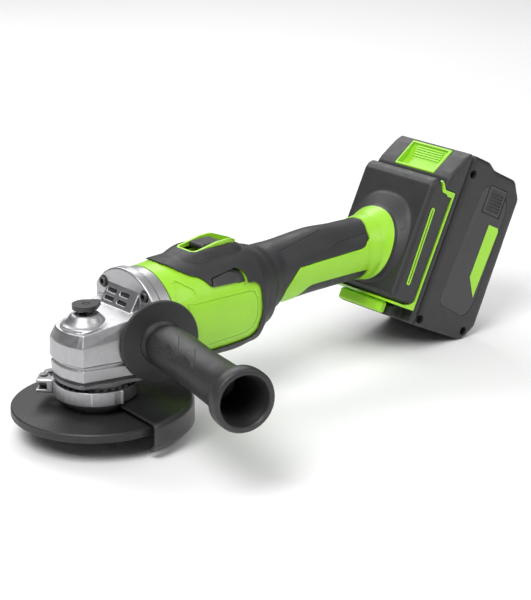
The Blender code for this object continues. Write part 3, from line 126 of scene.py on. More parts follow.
# the motor housing and the handle; a body key is (x, middle z, half height, half width, squareness, lean)
MOTOR_Z = RIM_Z + 51.0
MOTOR_START = 41.0
BODY_JOINT = 118.0
BODY_END = 260.0
BODY_WALL = 2.6
BODY_KEYS = (
    (MOTOR_START, MOTOR_Z, 34.5, 34.5, 2.0, 0),
    (60.0, MOTOR_Z, 35.0, 34.8, 2.2, 0),
    (100.0, RIM_Z + 51.2, 35.3, 35.0, 2.5, 0),
    (118.0, RIM_Z + 51.5, 33.5, 34.0, 2.5, 0),
    (130.0, RIM_Z + 53.0, 28.5, 30.0, 2.4, 0),
    (141.0, RIM_Z + 55.5, 23.5, 24.0, 2.2, 0),
    (152.0, RIM_Z + 57.3, 22.3, 20.5, 2.1, 0),
    (190.0, RIM_Z + 58.8, 23.3, 19.0, 2.1, 0),
    (216.0, RIM_Z + 58.0, 22.5, 19.0, 2.1, 0),
    (230.0, RIM_Z + 57.8, 22.2, 19.8, 2.1, 4),
    (240.0, RIM_Z + 58.0, 23.0, 21.0, 2.1, 14),
    (249.0, RIM_Z + 59.5, 26.0, 24.0, 2.2, 24),
    (255.3, RIM_Z + 62.4, 34.0, 30.0, 2.4, 26.7),
    (BODY_END, RIM_Z + 64.0, 38.0, 32.0, 2.5, 26.7),
)
RING_POINTS = 88
COLLAR_START = 231.0
COLLAR_END = 247.0
SWITCH_ROD_Z = MOTOR_Z + 26.5
MODULE_TOP = MOTOR_Z + 19.0
# the battery and its foot, which lean back
LEAN = radians(26.7)
HEEL = (254.7, 18.5)
BATTERY_DEEP = 71.5
BATTERY_LONG = 131.5
BATTERY_HALF = 37.0
REAR_GROOVES = 22
REAR_GROOVE_PITCH = 4
REAR_GROOVE_WIDE = 1.6
REAR_GROOVE_LOW = 24.37
GROOVE_HALF = 30.3
BASE_DEEP = 4.0
RAIL_DEEP = 9.0
RAIL_HALF = 25.0
FOOT_DEEP = 25.5
FOOT_HALF = 36.0
FOOT_LOW = 11.5
FOOT_HIGH = 106.4
CHANNEL_DEEP = 12.5
CHANNEL_HALF = RAIL_HALF + 0.6
TERMINAL_HALF = 13.0
# the gears and the spindle's upper bush
CROWN_TEETH = 37
PINION_TEETH = 11
CROWN_R = 19.0
PINION_R = CROWN_R * PINION_TEETH / CROWN_TEETH
MESH_Z = MOTOR_Z - PINION_R
TOOTH_LOW = MESH_Z - 1.3
CROWN_WEB = TOOTH_LOW - 1.0
BUSH_LOW = MOTOR_Z + 1.0
BUSH_HIGH = MOTOR_Z + 6.5
# the side handle
HANDLE_BASE = (35.6, 0.0, RIM_Z + 44.8)
HANDLE_RISE = radians(1.2)
HANDLE_FACE = 33.2
SIDE_FLAT = 32.3
HAND_FLANGE_R = 27.8
HANDLE_END = 160.5
STUD_R = 4.0


def axes(origin, x_axis, y_axis):
    """A frame in millimetres whose third axis is x_axis cross y_axis."""
    x_axis = Vector(x_axis).normalized()
    y_axis = Vector(y_axis).normalized()
    matrix = Matrix((x_axis, y_axis, x_axis.cross(y_axis))).transposed().to_4x4()
    matrix.translation = Vector(origin)
    return matrix


PLAN = axes((0, 0, 0), (1, 0, 0), (0, 1, 0))
SIDE = axes((0, 0, 0), (1, 0, 0), (0, 0, 1))
BACKWARD = Vector((cos(LEAN), 0, -sin(LEAN)))
UPWARD = Vector((sin(LEAN), 0, cos(LEAN)))
BATTERY = axes((HEEL[0], 0, HEEL[1]), BACKWARD, UPWARD)
HANDLE_AXIS = Vector((-sin(FLARE), -cos(FLARE), tan(HANDLE_RISE))).normalized()


def link(name, data):
    """Puts a new object that holds data into the scene."""
    piece = bpy.data.objects.new(name, data)
    bpy.context.scene.collection.objects.link(piece)
    return piece


def settle(piece):
    """Turns a piece with modifiers, or a curve, into a plain welded mesh in world space."""
    bpy.context.view_layer.update()
    graph = bpy.context.evaluated_depsgraph_get()
    mesh = bpy.data.meshes.new_from_object(piece.evaluated_get(graph))
    mesh.transform(piece.matrix_world)
    bm = bmesh.new()
    bm.from_mesh(mesh)
    bmesh.ops.remove_doubles(bm, verts=bm.verts, dist=0.001 * MM)
    bmesh.ops.dissolve_degenerate(bm, edges=bm.edges, dist=0.001 * MM)
    bmesh.ops.recalc_face_normals(bm, faces=bm.faces)
    bm.to_mesh(mesh)
    bm.free()
    name = piece.name
    bpy.data.objects.remove(piece)
    return link(name, mesh)


def bevelled(piece, rounding, sharpest):
    """Takes off the edges that are sharper than that many degrees, unless rounding is 0."""
    if not rounding:
        return piece
    bevel = piece.modifiers.new("Rounded edges", "BEVEL")
    bevel.width = rounding * MM
    bevel.segments = 1
    bevel.limit_method = "ANGLE"
    bevel.angle_limit = radians(sharpest)
    return settle(piece)


def box(name, low, high, place=PLAN, rounding=0.0):
    """A box between two corners of the frame place, with its edges rounded."""
    bm = bmesh.new()
    bmesh.ops.create_cube(bm, size=1.0)
    size = Vector(high) - Vector(low)
    middle = (Vector(high) + Vector(low)) / 2
    bm.transform(Matrix.Translation(middle) @ Matrix.Diagonal((*size, 1.0)))
    return from_bmesh(name, bm, place, rounding)


def from_bmesh(name, bm, place=PLAN, rounding=0.0):
    """Makes an object of a bmesh that is in millimetres in the frame place."""
    bm.transform(place)
    bm.transform(Matrix.Scale(MM, 4))
    bmesh.ops.recalc_face_normals(bm, faces=bm.faces)
    mesh = bpy.data.meshes.new(name)
    bm.to_mesh(mesh)
    bm.free()
    piece = link(name, mesh)
    return bevelled(piece, rounding, 40)


def plate(name, outline, low, high, place=PLAN, rounding=0.0):
    """A flat outline in the frame place, standing from low to high along its third axis."""
    curve = bpy.data.curves.new(name, "CURVE")
    curve.dimensions = "2D"
    curve.fill_mode = "BOTH"
    curve.extrude = (high - low) / 2 * MM
    spline = curve.splines.new("POLY")
    spline.points.add(len(outline) - 1)
    for point, (u, v) in zip(spline.points, outline):
        point.co = (u * MM, v * MM, 0.0, 1.0)
    spline.use_cyclic_u = True
    piece = link(name, curve)
    middle = Matrix.Translation((0, 0, (low + high) / 2))
    frame = place @ middle
    frame.translation *= MM
    piece.matrix_world = frame
    piece = settle(piece)
    bm = bmesh.new()
    bm.from_mesh(piece.data)
    bmesh.ops.dissolve_limit(bm, angle_limit=radians(0.5), verts=bm.verts, edges=bm.edges)
    bm.to_mesh(piece.data)
    bm.free()
    return bevelled(piece, rounding, 50)


def turned(name, profile, origin=(0, 0, 0), axis=(0, 0, 1), steps=96):
    """A profile of (radius, height) points, turned round the axis through origin.

    A solid's profile starts and ends on the axis. A ring's profile is a closed loop, which runs down its
    outer side and up its inner side.
    """
    on_axis = abs(profile[0][0]) < 1e-9 and abs(profile[-1][0]) < 1e-9
    mesh = bpy.data.meshes.new(name)
    count = len(profile)
    edges = [(i, i + 1) for i in range(count - 1)]
    if not on_axis:
        edges.append((count - 1, 0))
    mesh.from_pydata([(r * MM, 0, z * MM) for r, z in profile], edges, [])
    piece = link(name, mesh)
    screw = piece.modifiers.new("Turned", "SCREW")
    screw.steps = steps
    screw.render_steps = steps
    screw.use_merge_vertices = True
    screw.merge_threshold = 0.00001
    direction = Vector(axis).normalized()
    matrix = direction.to_track_quat("Z", "Y").to_matrix().to_4x4()
    matrix.translation = Vector(origin) * MM
    piece.matrix_world = matrix
    return settle(piece)


def rod(name, radius, low, high, origin=(0, 0, 0), axis=(0, 0, 1), steps=48, chamfer=0.0):
    """A cylinder along axis, from low to high, with chamfered ends."""
    profile = [(0, high), (radius - chamfer, high)]
    if chamfer:
        profile += [(radius, high - chamfer), (radius, low + chamfer)]
    profile += [(radius - chamfer, low), (0, low)]
    return turned(name, profile, origin, axis, steps)


def ring(name, outer, inner, low, high, origin=(0, 0, 0), axis=(0, 0, 1), steps=64, chamfer=0.0):
    """A plain or chamfered ring along axis."""
    profile = [(outer, high), (outer, low), (inner, low), (inner, high)]
    if chamfer:
        profile = [
            (outer - chamfer, high),
            (outer, high - chamfer),
            (outer, low + chamfer),
            (outer - chamfer, low),
            (inner, low),
            (inner, high),
        ]
    return turned(name, profile, origin, axis, steps)


def loft(name, rings):
    """A closed skin over rings of points that have the same count, capped at both ends."""
    bm = bmesh.new()
    rows = [[bm.verts.new(point) for point in points] for points in rings]
    count = len(rows[0])
    for lower, upper in zip(rows, rows[1:]):
        for i in range(count):
            j = (i + 1) % count
            bm.faces.new((lower[i], lower[j], upper[j], upper[i]))
    bm.faces.new(list(reversed(rows[0])))
    bm.faces.new(rows[-1])
    return from_bmesh(name, bm)


def boolean(target, other, operation="DIFFERENCE"):
    """Cuts, joins or intersects target with other, and removes other."""
    modifier = target.modifiers.new(operation.title(), "BOOLEAN")
    modifier.operation = operation
    modifier.solver = "EXACT"
    modifier.object = other
    result = settle(target)
    bpy.data.objects.remove(other)
    return result


def cut(target, *cutters):
    """Takes each cutter away from target."""
    for cutter in cutters:
        target = boolean(target, cutter, "DIFFERENCE")
    return target


def join(target, *others):
    """Adds each of the others to target."""
    for other in others:
        target = boolean(target, other, "UNION")
    return target


def common(target, other):
    """Keeps what target and other share."""
    return boolean(target, other, "INTERSECT")


def copy_of(piece, name):
    """A copy of a piece with its own mesh."""
    twin = link(name, piece.data.copy())
    twin.matrix_world = piece.matrix_world
    return twin


def arc(centre, radius, start, end, count):
    """Points on an arc, angles in degrees."""
    span = [start + (end - start) * i / (count - 1) for i in range(count)]
    return [(centre[0] + radius * cos(radians(a)), centre[1] + radius * sin(radians(a))) for a in span]


def smooth_step(t):
    """Eases 0 to 1."""
    return t * t * (3 - 2 * t)


def body_shape(x):
    """(middle, half height, half width, squareness, lean) of the body's section at x."""
    if x <= BODY_KEYS[0][0]:
        return BODY_KEYS[0][1:]
    for before, after in zip(BODY_KEYS, BODY_KEYS[1:]):
        if x <= after[0]:
            t = smooth_step((x - before[0]) / (after[0] - before[0]))
            return tuple(a + (b - a) * t for a, b in zip(before[1:], after[1:]))
    return BODY_KEYS[-1][1:]


def superellipse(half_u, half_v, square, count):
    """Points (u, v) round a superellipse; square 2 is an ellipse and more is boxier."""
    power = 2 / square
    points = []
    for i in range(count):
        angle = 2 * pi * (i + 0.5) / count
        c = cos(angle)
        s = sin(angle)
        points.append((half_u * copysign(abs(c) ** power, c), half_v * copysign(abs(s) ** power, s)))
    return points


def body_ring(x, grow=0.0):
    """One section of the body, grown outwards by grow."""
    middle, tall, half, square, lean = body_shape(x)
    up = Vector((sin(radians(lean)), 0, cos(radians(lean))))
    centre = Vector((x, 0, middle))
    outline = superellipse(half + grow, tall + grow, square, RING_POINTS)
    return [centre + Vector((0, y, 0)) + up * rise for y, rise in outline]


def body_loft(name, start, end, grow=0.0, step=3.0):
    """The body's solid form between two places along it, grown outwards by grow."""
    count = max(1, ceil((end - start) / step))
    stations = [start + (end - start) * i / count for i in range(count + 1)]
    return loft(name, [body_ring(x, grow) for x in stations])


def body_skin(name, start, end, low, high, step=3.0):
    """A shell between two grown copies of the body surface, open at both ends."""
    outer = body_loft(name, start, end, high, step)
    inner = body_loft("inner", start - 1, end + 1, low, step)
    return cut(outer, inner)


def make_wheel():
    """The grinding wheel, with its rims broken by a small chamfer."""
    rim = WHEEL_R - 0.8
    profile = [
        (rim, RIM_Z),
        (WHEEL_R, RIM_Z - 0.8),
        (WHEEL_R, RIM_Z - WHEEL_THICK + 0.8),
        (rim, RIM_Z - WHEEL_THICK),
        (BORE_R + GAP, RIM_Z - WHEEL_THICK),
        (BORE_R + GAP, RIM_Z),
    ]
    return finish(turned("grinding_wheel", profile, steps=56))


def make_inner_flange():
    """Seats the wheel: a rimmed disc with a pilot that centres the wheel's bore."""
    seat = RIM_Z + GAP
    profile = [
        (FLANGE_R - 1, seat + FLANGE_THICK - GAP),
        (FLANGE_R, seat + FLANGE_THICK - 1 - GAP),
        (FLANGE_R, seat),
        (BORE_R, seat),
        (BORE_R, RIM_Z - 3),
        (THREAD_R + GAP, RIM_Z - 3),
        (THREAD_R + GAP, seat + FLANGE_THICK - GAP),
    ]
    return finish(turned("inner_flange", profile, steps=96))


def make_clamp_nut():
    """The outer flange nut, with four holes for the pin spanner."""
    top = RIM_Z - WHEEL_THICK - GAP
    nut = ring("clamp_nut", NUT_R, THREAD_R + GAP, top - NUT_THICK, top, steps=84, chamfer=1.0)
    for quarter in range(4):
        angle = radians(45 + 90 * quarter)
        centre = (15 * cos(angle), 15 * sin(angle), 0)
        nut = cut(nut, rod("hole", 2.5, top - NUT_THICK - 1, top - 2, centre, steps=24))
    return finish(nut)


def guard_profile():
    """The guard's section from the collar out to the rolled lip, outer side down and inner side up."""
    shoulder = 4.0
    outer = [(COLLAR_R, COLLAR_TOP), (COLLAR_R, PLATE_Z)]
    outer += arc((GUARD_R - shoulder, PLATE_Z - 2 - shoulder), shoulder, 90, 0, 4)
    outer += [(GUARD_R, GUARD_LOW + 5), (GUARD_R - 5, GUARD_LOW)]
    inner = [(GUARD_R - 5 - GUARD_WALL, GUARD_LOW + 1), (GUARD_R - GUARD_WALL, GUARD_LOW + 6)]
    bend = shoulder - GUARD_WALL
    inner += arc((GUARD_R - shoulder, PLATE_Z - 2 - shoulder), bend, 0, 90, 3)
    inner += [(COLLAR_R - COLLAR_WALL, PLATE_Z - GUARD_WALL), (COLLAR_R - COLLAR_WALL, COLLAR_TOP)]
    return outer + inner


def make_guard():
    """A half guard: the plate and skirt cover the back half, and the toothed collar goes all round."""
    guard = turned("guard", guard_profile(), steps=96)
    reach = GUARD_R + 5
    half = box("open_half", (-reach, -reach, -30), (0, reach, PLATE_Z + 30))
    half.matrix_world = Matrix.Rotation(radians(GUARD_TURN), 4, "Z")
    guard = cut(guard, settle(half))
    low = PLATE_Z - GUARD_WALL
    guard = join(guard, ring("collar", COLLAR_R, COLLAR_R - COLLAR_WALL, low, COLLAR_TOP, steps=96))
    return finish(cut(guard, make_tooth_gaps()))


def make_tooth_gaps():
    """The gaps between the collar's indexing teeth, as one cutter."""
    bm = bmesh.new()
    depth = 1.6
    gap = 2 * pi * COLLAR_R / COLLAR_TEETH / 2
    for i in range(COLLAR_TEETH):
        turn = Matrix.Rotation(2 * pi * i / COLLAR_TEETH, 4, "Z")
        shift = Matrix.Translation((COLLAR_R - COLLAR_WALL / 2, 0, COLLAR_TOP))
        size = Matrix.Diagonal((2.2 * COLLAR_WALL, gap, 2 * depth, 1))
        bmesh.ops.create_cube(bm, size=1.0, matrix=turn @ shift @ size)
    return from_bmesh("tooth_gaps", bm)


def make_clamp_lever():
    """The quick-release lever: an arm bent round the band, hung on the lever pin by a fork."""
    inner = COLLAR_R + GAP + 1.2 + GAP
    outer = inner + 1.4
    start = degrees(atan2(LEVER_PIN[1], LEVER_PIN[0])) + 8
    end = 266.0
    arm = arc((0, 0), outer, start, end, 14)
    tip = radians(end + 2)
    arm += [(reach * cos(tip), reach * sin(tip)) for reach in (outer + 1.6, outer + 0.9)]
    arm += arc((0, 0), inner, end, start, 14)
    lever = plate("clamp_lever", arm, LEVER_LOW, LEVER_HIGH)
    angle = atan2(LEVER_PIN[1], LEVER_PIN[0])
    place = axes((0, 0, 0), (cos(angle), sin(angle), 0), (-sin(angle), cos(angle), 0))
    lug = box("lug", (inner + 0.4, -0.5, LEVER_LOW), (39.7, 8.6, LEVER_HIGH), place, 0.8)
    eye = rod("eye", 3.9, LEVER_LOW, LEVER_HIGH, (*LEVER_PIN, 0), steps=60)
    lever = join(lever, lug, eye)
    slot_low = LEVER_LOW + 0.6 + 2.2 - GAP
    slot_high = LEVER_HIGH - 0.6 - 2.2 + GAP
    slot = ring("slot", 9.3, 0.5, slot_low, slot_high, (*LEVER_PIN, 0), steps=60)
    lever = cut(lever, slot, rod("core", 1.0, slot_low, slot_high, (*LEVER_PIN, 0), steps=24))
    lever = cut(lever, rod("hole", 1.8 + GAP, LEVER_LOW - 3, LEVER_HIGH + 3, (*LEVER_PIN, 0), steps=48))
    return finish(lever)


def nose_outline(inset, rear=30.0):
    """The gear head's plan: a convex nose, and sides that flare towards the motor."""
    x, y = CORNER
    bulge = abs(NOSE_X - x)
    radius = (y * y + bulge * bulge) / (2 * bulge)
    centre_x = NOSE_X + radius
    reach = degrees(asin(y / radius))
    nose = arc((centre_x, 0), radius - inset, 180 - reach, 180 + reach, 9)
    turn = inset / cos(FLARE)
    side = y + (rear - x) * tan(FLARE)
    nose[0] = (nose[0][0], y + (nose[0][0] - x) * tan(FLARE) - turn)
    nose[-1] = (nose[0][0], -nose[0][1])
    return [(rear, side - turn)] + nose + [(rear, -side + turn)]


def nose_level(z, inset, slope, rear=30.0):
    """The nose's plan at height z, whose plane rises towards the rear by slope."""
    outline = nose_outline(inset, rear)
    return [Vector((x, y, z + slope * (x - CORNER[0]))) for x, y in outline]


def make_head_body():
    """The faceted front of the gear head: lower ring, undercut, upright sides, chamfer and sloping roof."""
    levels = (
        (HEAD_LOW, 1.0, 0.0),
        (HEAD_STEP - 3.0, 0.6, 0.0),
        (HEAD_STEP - 2.6, 2.0, 0.0),
        (HEAD_STEP - 0.4, 2.0, 0.0),
        (HEAD_STEP, 0.0, 0.0),
        (SHOULDER_Z, 0.4, ROOF_SLOPE * 0.6),
        (ROOF_Z, 3.6, ROOF_SLOPE),
    )
    return loft("gear_housing", [nose_level(*level) for level in levels])


def make_head_cavity():
    """The hollow inside the gear head, which follows the outer facets."""
    levels = (
        (HEAD_LOW - 1.0, HEAD_WALL + 3.4, 0.0),
        (HEAD_STEP - 2.0, HEAD_WALL + 3.4, 0.0),
        (HEAD_STEP + 1.0, HEAD_WALL + 1.0, 0.0),
        (SHOULDER_Z, HEAD_WALL + 1.0, ROOF_SLOPE * 0.6),
        (ROOF_Z - HEAD_WALL, HEAD_WALL + 3.6, ROOF_SLOPE),
    )
    return loft("cavity", [nose_level(*level, rear=22.0) for level in levels])


def make_outlet_box():
    """The raised air outlet, a wedge with a leaning front."""
    foot_x, foot_z = OUTLET_FOOT
    crest_x, crest_z = OUTLET_CREST
    base = RIM_Z + 57
    rear = 27.0
    roof = [(foot_x - 1, base), (foot_x, foot_z), (crest_x, crest_z), (rear, crest_z + 0.4), (rear, base)]
    return plate("outlet", roof, -OUTLET_HALF, OUTLET_HALF, SIDE, 0.8)


def outlet_face():
    """A frame on the outlet's leaning front: first axis across to the right, second up, third outwards."""
    lean = Vector((OUTLET_CREST[0] - OUTLET_FOOT[0], 0, OUTLET_CREST[1] - OUTLET_FOOT[1])).normalized()
    return axes((OUTLET_FOOT[0], 0, OUTLET_FOOT[1]), (0, -1, 0), lean)


def make_outlet_slots():
    """Two rows of two slots through the leaning front of the air outlet."""
    slots = []
    for row in (3.8, 9.6):
        for middle in (-9.6, 4.0):
            low = (middle - 4.7, row - 1.4, -4)
            high = (middle + 4.7, row + 1.4, 4)
            slots.append(box("slot", low, high, outlet_face()))
    return slots


def handle_direction(side):
    """Which way a side handle leaves the head: side 1 is the fitted handle's, -1 the spare hole's."""
    return Vector((HANDLE_AXIS.x, HANDLE_AXIS.y * side, HANDLE_AXIS.z if side > 0 else 0.0)).normalized()


def side_frame(side):
    """A frame at the handle's base whose third axis runs out level, square to that side of the head."""
    level = Vector((-sin(FLARE), -cos(FLARE) * side, 0))
    across = level.cross(Vector((0, 0, 1)))
    return axes(HANDLE_BASE, across, level.cross(across))


def make_button_boss():
    """The low dome under the spindle-lock button."""
    low = ROOF_Z - 4
    top = LOCK_BOSS_TOP + 0.1
    profile = [(0, top), (8.4, top), (9.0, LOCK_BOSS_TOP - 0.3), (9.9, LOCK_BOSS_TOP - 1.0)]
    profile += [(10.8, LOCK_BOSS_TOP - 2.2), (12.2, RIM_Z + 60.4), (13.8, RIM_Z + 58.7)]
    profile += [(16.0, RIM_Z + 57.4), (16.0, low), (0, low)]
    return turned("boss", profile, (BUTTON_X, 0, 0), steps=60)


def make_gear_housing():
    """The cast housing: front, mounting flange, neck, air outlet, button boss and both handle bosses."""
    housing = make_head_body()
    along_x = (1, 0, 0)
    centre = (0, 0, MOTOR_Z)
    flange = rod("flange", 36.5, 24.0, 31.5, centre, along_x, steps=96, chamfer=0.8)
    neck = rod("neck", 34.3, 30.0, MOTOR_START - GAP, centre, along_x, steps=96)
    rear = join(flange, neck)
    for side in (1, -1):
        rear = cut(rear, box("beyond", (-50, -50, SIDE_FLAT), (50, 50, 80), side_frame(side)))
    housing = join(housing, rear, make_outlet_box(), make_button_boss())
    for side in (1, -1):
        direction = handle_direction(side)
        handle_boss = rod("handle_boss", 11.5, 18, HANDLE_FACE - GAP, HANDLE_BASE, direction, 16, 0.6)
        housing = join(housing, handle_boss)
    housing = cut(housing, box("below", (-60, -60, -20), (60, 60, HEAD_LOW)))
    housing = cut(housing, make_head_cavity())
    housing = join(housing, rod("bush_boss", 7.5, BUSH_LOW - 1.5, ROOF_Z + 1.0, steps=36))
    housing = cut(housing, rod("bearing_bore", 13.3, 19.0, 35.0, centre, along_x, 20))
    housing = cut(housing, rod("fan_chamber", 30.5, 34.9, MOTOR_START + 2, centre, along_x, 24))
    housing = cut(housing, rod("bush_bore", 5.5, BUSH_LOW - 3, BUSH_HIGH + 1, (0, 0, 0), steps=48))
    seat = rod("spring_seat", 5.6, LOCK_BOSS_TOP - SPRING_SEAT, RIM_Z + 70, (LOCK_X, 0, 0), steps=48)
    housing = cut(housing, seat)
    housing = cut(housing, rod("lock_bore", 2.6, CROWN_WEB, RIM_Z + 70, (LOCK_X, 0, 0), steps=30))
    for side in (1, -1):
        thread = rod("handle_thread", STUD_R + GAP, 19, 40, HANDLE_BASE, handle_direction(side), 10)
        housing = cut(housing, thread)
    for slot in make_outlet_slots():
        housing = cut(housing, slot)
    for x, y in cover_screw_places():
        hole = rod("screw_hole", SCREW_R + GAP, HEAD_LOW - 1, HEAD_LOW + 8.6, (x, y, 0), steps=24)
        housing = cut(housing, hole)
    for y, z in flange_screw_places():
        housing = cut(housing, rod("head_room", 3.9, 10.0, 26.5, (0, y, z), along_x, 10))
        housing = cut(housing, rod("screw_hole", 2.0 + GAP, 20.0, 52.0, (0, y, z), along_x, 8))
    return finish(housing, 28)


def cover_screw_places():
    """Four cover screws: two at the nose's corners and two behind."""
    return ((-21.5, 15.2), (-21.5, -15.2), (17.0, 23.0), (17.0, -23.0))


def flange_screw_places():
    """Four flange screws on a circle round the motor axis: (y, z)."""
    radius = 31.6
    return [(radius * cos(radians(a)), MOTOR_Z + radius * sin(radians(a))) for a in (46, 134, 226, 314)]


def make_bearing_cover():
    """Closes the gear head from below, holds the lower bearing and carries the guard on its neck."""
    high = COVER_LOW + COVER_THICK
    cover = plate("bearing_cover", nose_outline(1.4, rear=23.0), COVER_LOW, high, PLAN, 0.5)
    cover = join(cover, rod("neck", NECK_R, RIM_Z + 6.5, high - 0.5, steps=90))
    cover = cut(cover, rod("bearing_seat", 16.3, RIM_Z + 9.5, HEAD_LOW + 2, steps=84))
    cover = cut(cover, rod("spindle_hole", 10.5, RIM_Z, RIM_Z + 12, steps=72))
    for x, y in cover_screw_places():
        hole = rod("hole", SCREW_R + GAP, RIM_Z, HEAD_LOW + 2, (x, y, 0), steps=24)
        recess = rod("recess", SCREW_HEAD_R + GAP, COVER_LOW - 1, COVER_LOW + 1.6, (x, y, 0), steps=30)
        cover = cut(cover, hole, recess)
    return finish(cover)


def make_lock_button():
    """The spindle-lock button: a teardrop cap on a round stem, with a ring moulded into its top."""
    outline = arc((BUTTON_X, 0), 8.6, 50, 310, 60) + arc((BUTTON_X + 10.0, 0), 2.4, -50, 50, 8)
    button = plate("spindle_lock_button", outline, BUTTON_LOW, BUTTON_TOP, PLAN)
    crown = rod("crown", 60.0, BUTTON_TOP - 20, BUTTON_TOP - 0.2, (BUTTON_X, 0, 0), steps=48)
    button = common(button, crown)
    mark = ring("mark", 2.3, 1.7, BUTTON_TOP - 0.8, BUTTON_TOP + 1, (BUTTON_X + 1, 0, 0), steps=40)
    stem = rod("stem", 2.2, BUTTON_LOW - 4.6, BUTTON_LOW + 1, (LOCK_X, 0, 0), steps=48)
    return finish(join(cut(button, mark), stem))


def make_motor_housing():
    """The green housing round the motor, with a spider at its rear that holds the rear bearing."""
    housing = body_skin("motor_housing", MOTOR_START, BODY_JOINT, -BODY_WALL, 0.0)
    centre = (0, 0, MOTOR_Z)
    along = (1, 0, 0)
    for y, z in flange_screw_places():
        post = rod("post", 4.2, MOTOR_START, 56, (0, y, z), along, 8)
        housing = join(housing, common(post, body_loft("limit", MOTOR_START, 60, -0.2)))
    spider = rod("spider", 40, 112.5, 115.5, centre, along, 8)
    spider = common(spider, body_loft("limit", MOTOR_START, BODY_JOINT, -1.0))
    housing = join(housing, spider, ring("cup", 13.2, 11.0, 103.5, 114, centre, along, 16))
    housing = cut(housing, rod("shaft_hole", 5.0, 100, 120, centre, along, 10))
    for i in range(4):
        angle = 2 * pi * (i + 0.5) / 4
        place = (0, 22 * cos(angle), MOTOR_Z + 22 * sin(angle))
        housing = cut(housing, rod("air_hole", 6.5, 110, 118, place, along, 8))
    for y, z in flange_screw_places():
        housing = cut(housing, rod("screw_hole", 2.0 + GAP, MOTOR_START - 1, 52, (0, y, z), along, 8))
    for side in (1, -1):
        low, high = (10, 45) if side < 0 else (-45, -10)
        housing = cut(housing, plate("air_inlet", vent_outline(), low, high, SIDE))
        housing = cut(housing, groove_round(PANEL, 0.55, 0.6, low, high))
        housing = cut(housing, make_front_pocket(side))
    housing = cut(housing, box("switch_way", (76, -9, MOTOR_Z + 26), (112, 9, MOTOR_Z + 45)))
    housing = cut(housing, box("rod_way", (106, -3, MODULE_TOP - 1), (120, 3, SWITCH_ROD_Z + 3)))
    return finish(housing)


def make_front_pocket(side):
    """A shallow facet sunk into the green housing in front of the air inlet."""
    low, high = (18, 45) if side < 0 else (-45, -18)
    outline = [(43.0, RIM_Z + 66.5), (47.5, RIM_Z + 77.5), (50.0, RIM_Z + 79.0)]
    outline += [(59.5, RIM_Z + 72.6), (60.5, RIM_Z + 69.5), (58.0, RIM_Z + 67.4)]
    pocket = plate("pocket", outline, low, high, SIDE)
    return common(pocket, body_skin("depth", MOTOR_START, 70, -0.6, 3.0))


def make_side_covers():
    """The dark air-inlet cover on each side: a textured insert with the inlet's gap behind it."""
    for name, side in (("air_inlet_cover_right", -1), ("air_inlet_cover_left", 1)):
        low, high = (12, 45) if side < 0 else (-45, -12)
        cover = body_skin(name, 66, 106, -2.2, 1.2)
        cover = common(cover, plate("insert", insert_outline(), low, high, SIDE))
        back = body_skin("back", 66, 106, -2.2, -1.4)
        cover = join(cover, common(back, plate("behind", vent_outline(-0.2), low, high, SIDE)))
        lining = cut(
            plate("lining", vent_outline(-0.2), low, high, SIDE),
            plate("open", vent_outline(-0.9), low - 1, high + 1, SIDE),
        )
        cover = join(cover, common(lining, body_skin("depth", 66, 106, -2.2, 0.3)))
        finish(cover)


PANEL = (
    (52.0, RIM_Z + 64.5),
    (58.0, RIM_Z + 63.6),
    (104.0, RIM_Z + 63.2),
    (108.5, RIM_Z + 61.6),
    (111.5, RIM_Z + 56.0),
    (111.5, RIM_Z + 43.5),
    (108.0, RIM_Z + 36.0),
    (103.0, RIM_Z + 33.4),
    (73.0, RIM_Z + 31.4),
    (52.0, RIM_Z + 29.5),
)


def groove_round(outline, width, deep, bottom, top):
    """A cutter for a groove of that width along an outline in the side view, deep below the body surface."""
    middle = Vector((sum(x for x, z in outline), sum(z for x, z in outline))) / len(outline)
    inner = []
    for x, z in outline:
        away = Vector((x, z)) - middle
        inner.append(tuple(middle + away * (1 - width / away.length)))
    line = plate("line", outline, bottom, top, SIDE)
    line = cut(line, plate("keep", inner, bottom - 1, top + 1, SIDE))
    return common(line, body_skin("depth", MOTOR_START, BODY_JOINT, -deep, 3.0))


def side_window():
    """The outline of the green side panel that the overmould leaves open, in the side view."""
    panel = [(30, RIM_Z + 90), (47.6, RIM_Z + 88.6), (51.5, RIM_Z + 87.0), (56, RIM_Z + 83.6)]
    panel += [(62, RIM_Z + 80.2), (66.5, RIM_Z + 79.0), (69.5, RIM_Z + 77.0)]
    panel += [(73.4, RIM_Z + 72.0), (75.0, RIM_Z + 71.2), (94.0, RIM_Z + 70.6), (96.5, RIM_Z + 69.6)]
    panel += [(100.5, RIM_Z + 68.8)]
    panel += arc((107, RIM_Z + 61.0), 7.4, 85, 5, 8)
    panel += [(115.2, RIM_Z + 50), (114.6, RIM_Z + 42)]
    panel += arc((105.5, RIM_Z + 35.5), 8, 10, -75, 8)
    panel += [(66, RIM_Z + 24), (52, RIM_Z + 20), (30, RIM_Z + 18)]
    return panel


def make_overmould():
    """The soft grip moulded over the motor housing's top, rear and lower edge, raised round the switch."""
    grip = body_skin("motor_overmould", 51.4, BODY_JOINT, GAP, 1.6)
    hump = loft("hump", [hump_ring(x) for x in [52 + 2 * i for i in range(33)] + [117.8]])
    ridge = loft("ridge", [ridge_ring(x) for x in [56 + 3 * i for i in range(20)] + [117.8]])
    hump = cut(join(hump, ridge), body_loft("inside", 40, 130, 1.0))
    grip = join(grip, hump)
    for side in (1, -1):
        low, high = (6, 60) if side < 0 else (-60, -6)
        grip = cut(grip, plate("window", side_window(), low, high, SIDE))
        grip = cut(grip, plate("vent", vent_outline(0.25), low, high, SIDE))
    grip = cut(grip, plate("pocket", switch_outline(0.0), MOTOR_Z + 20, MOTOR_Z + 60, PLAN))
    return finish(grip)


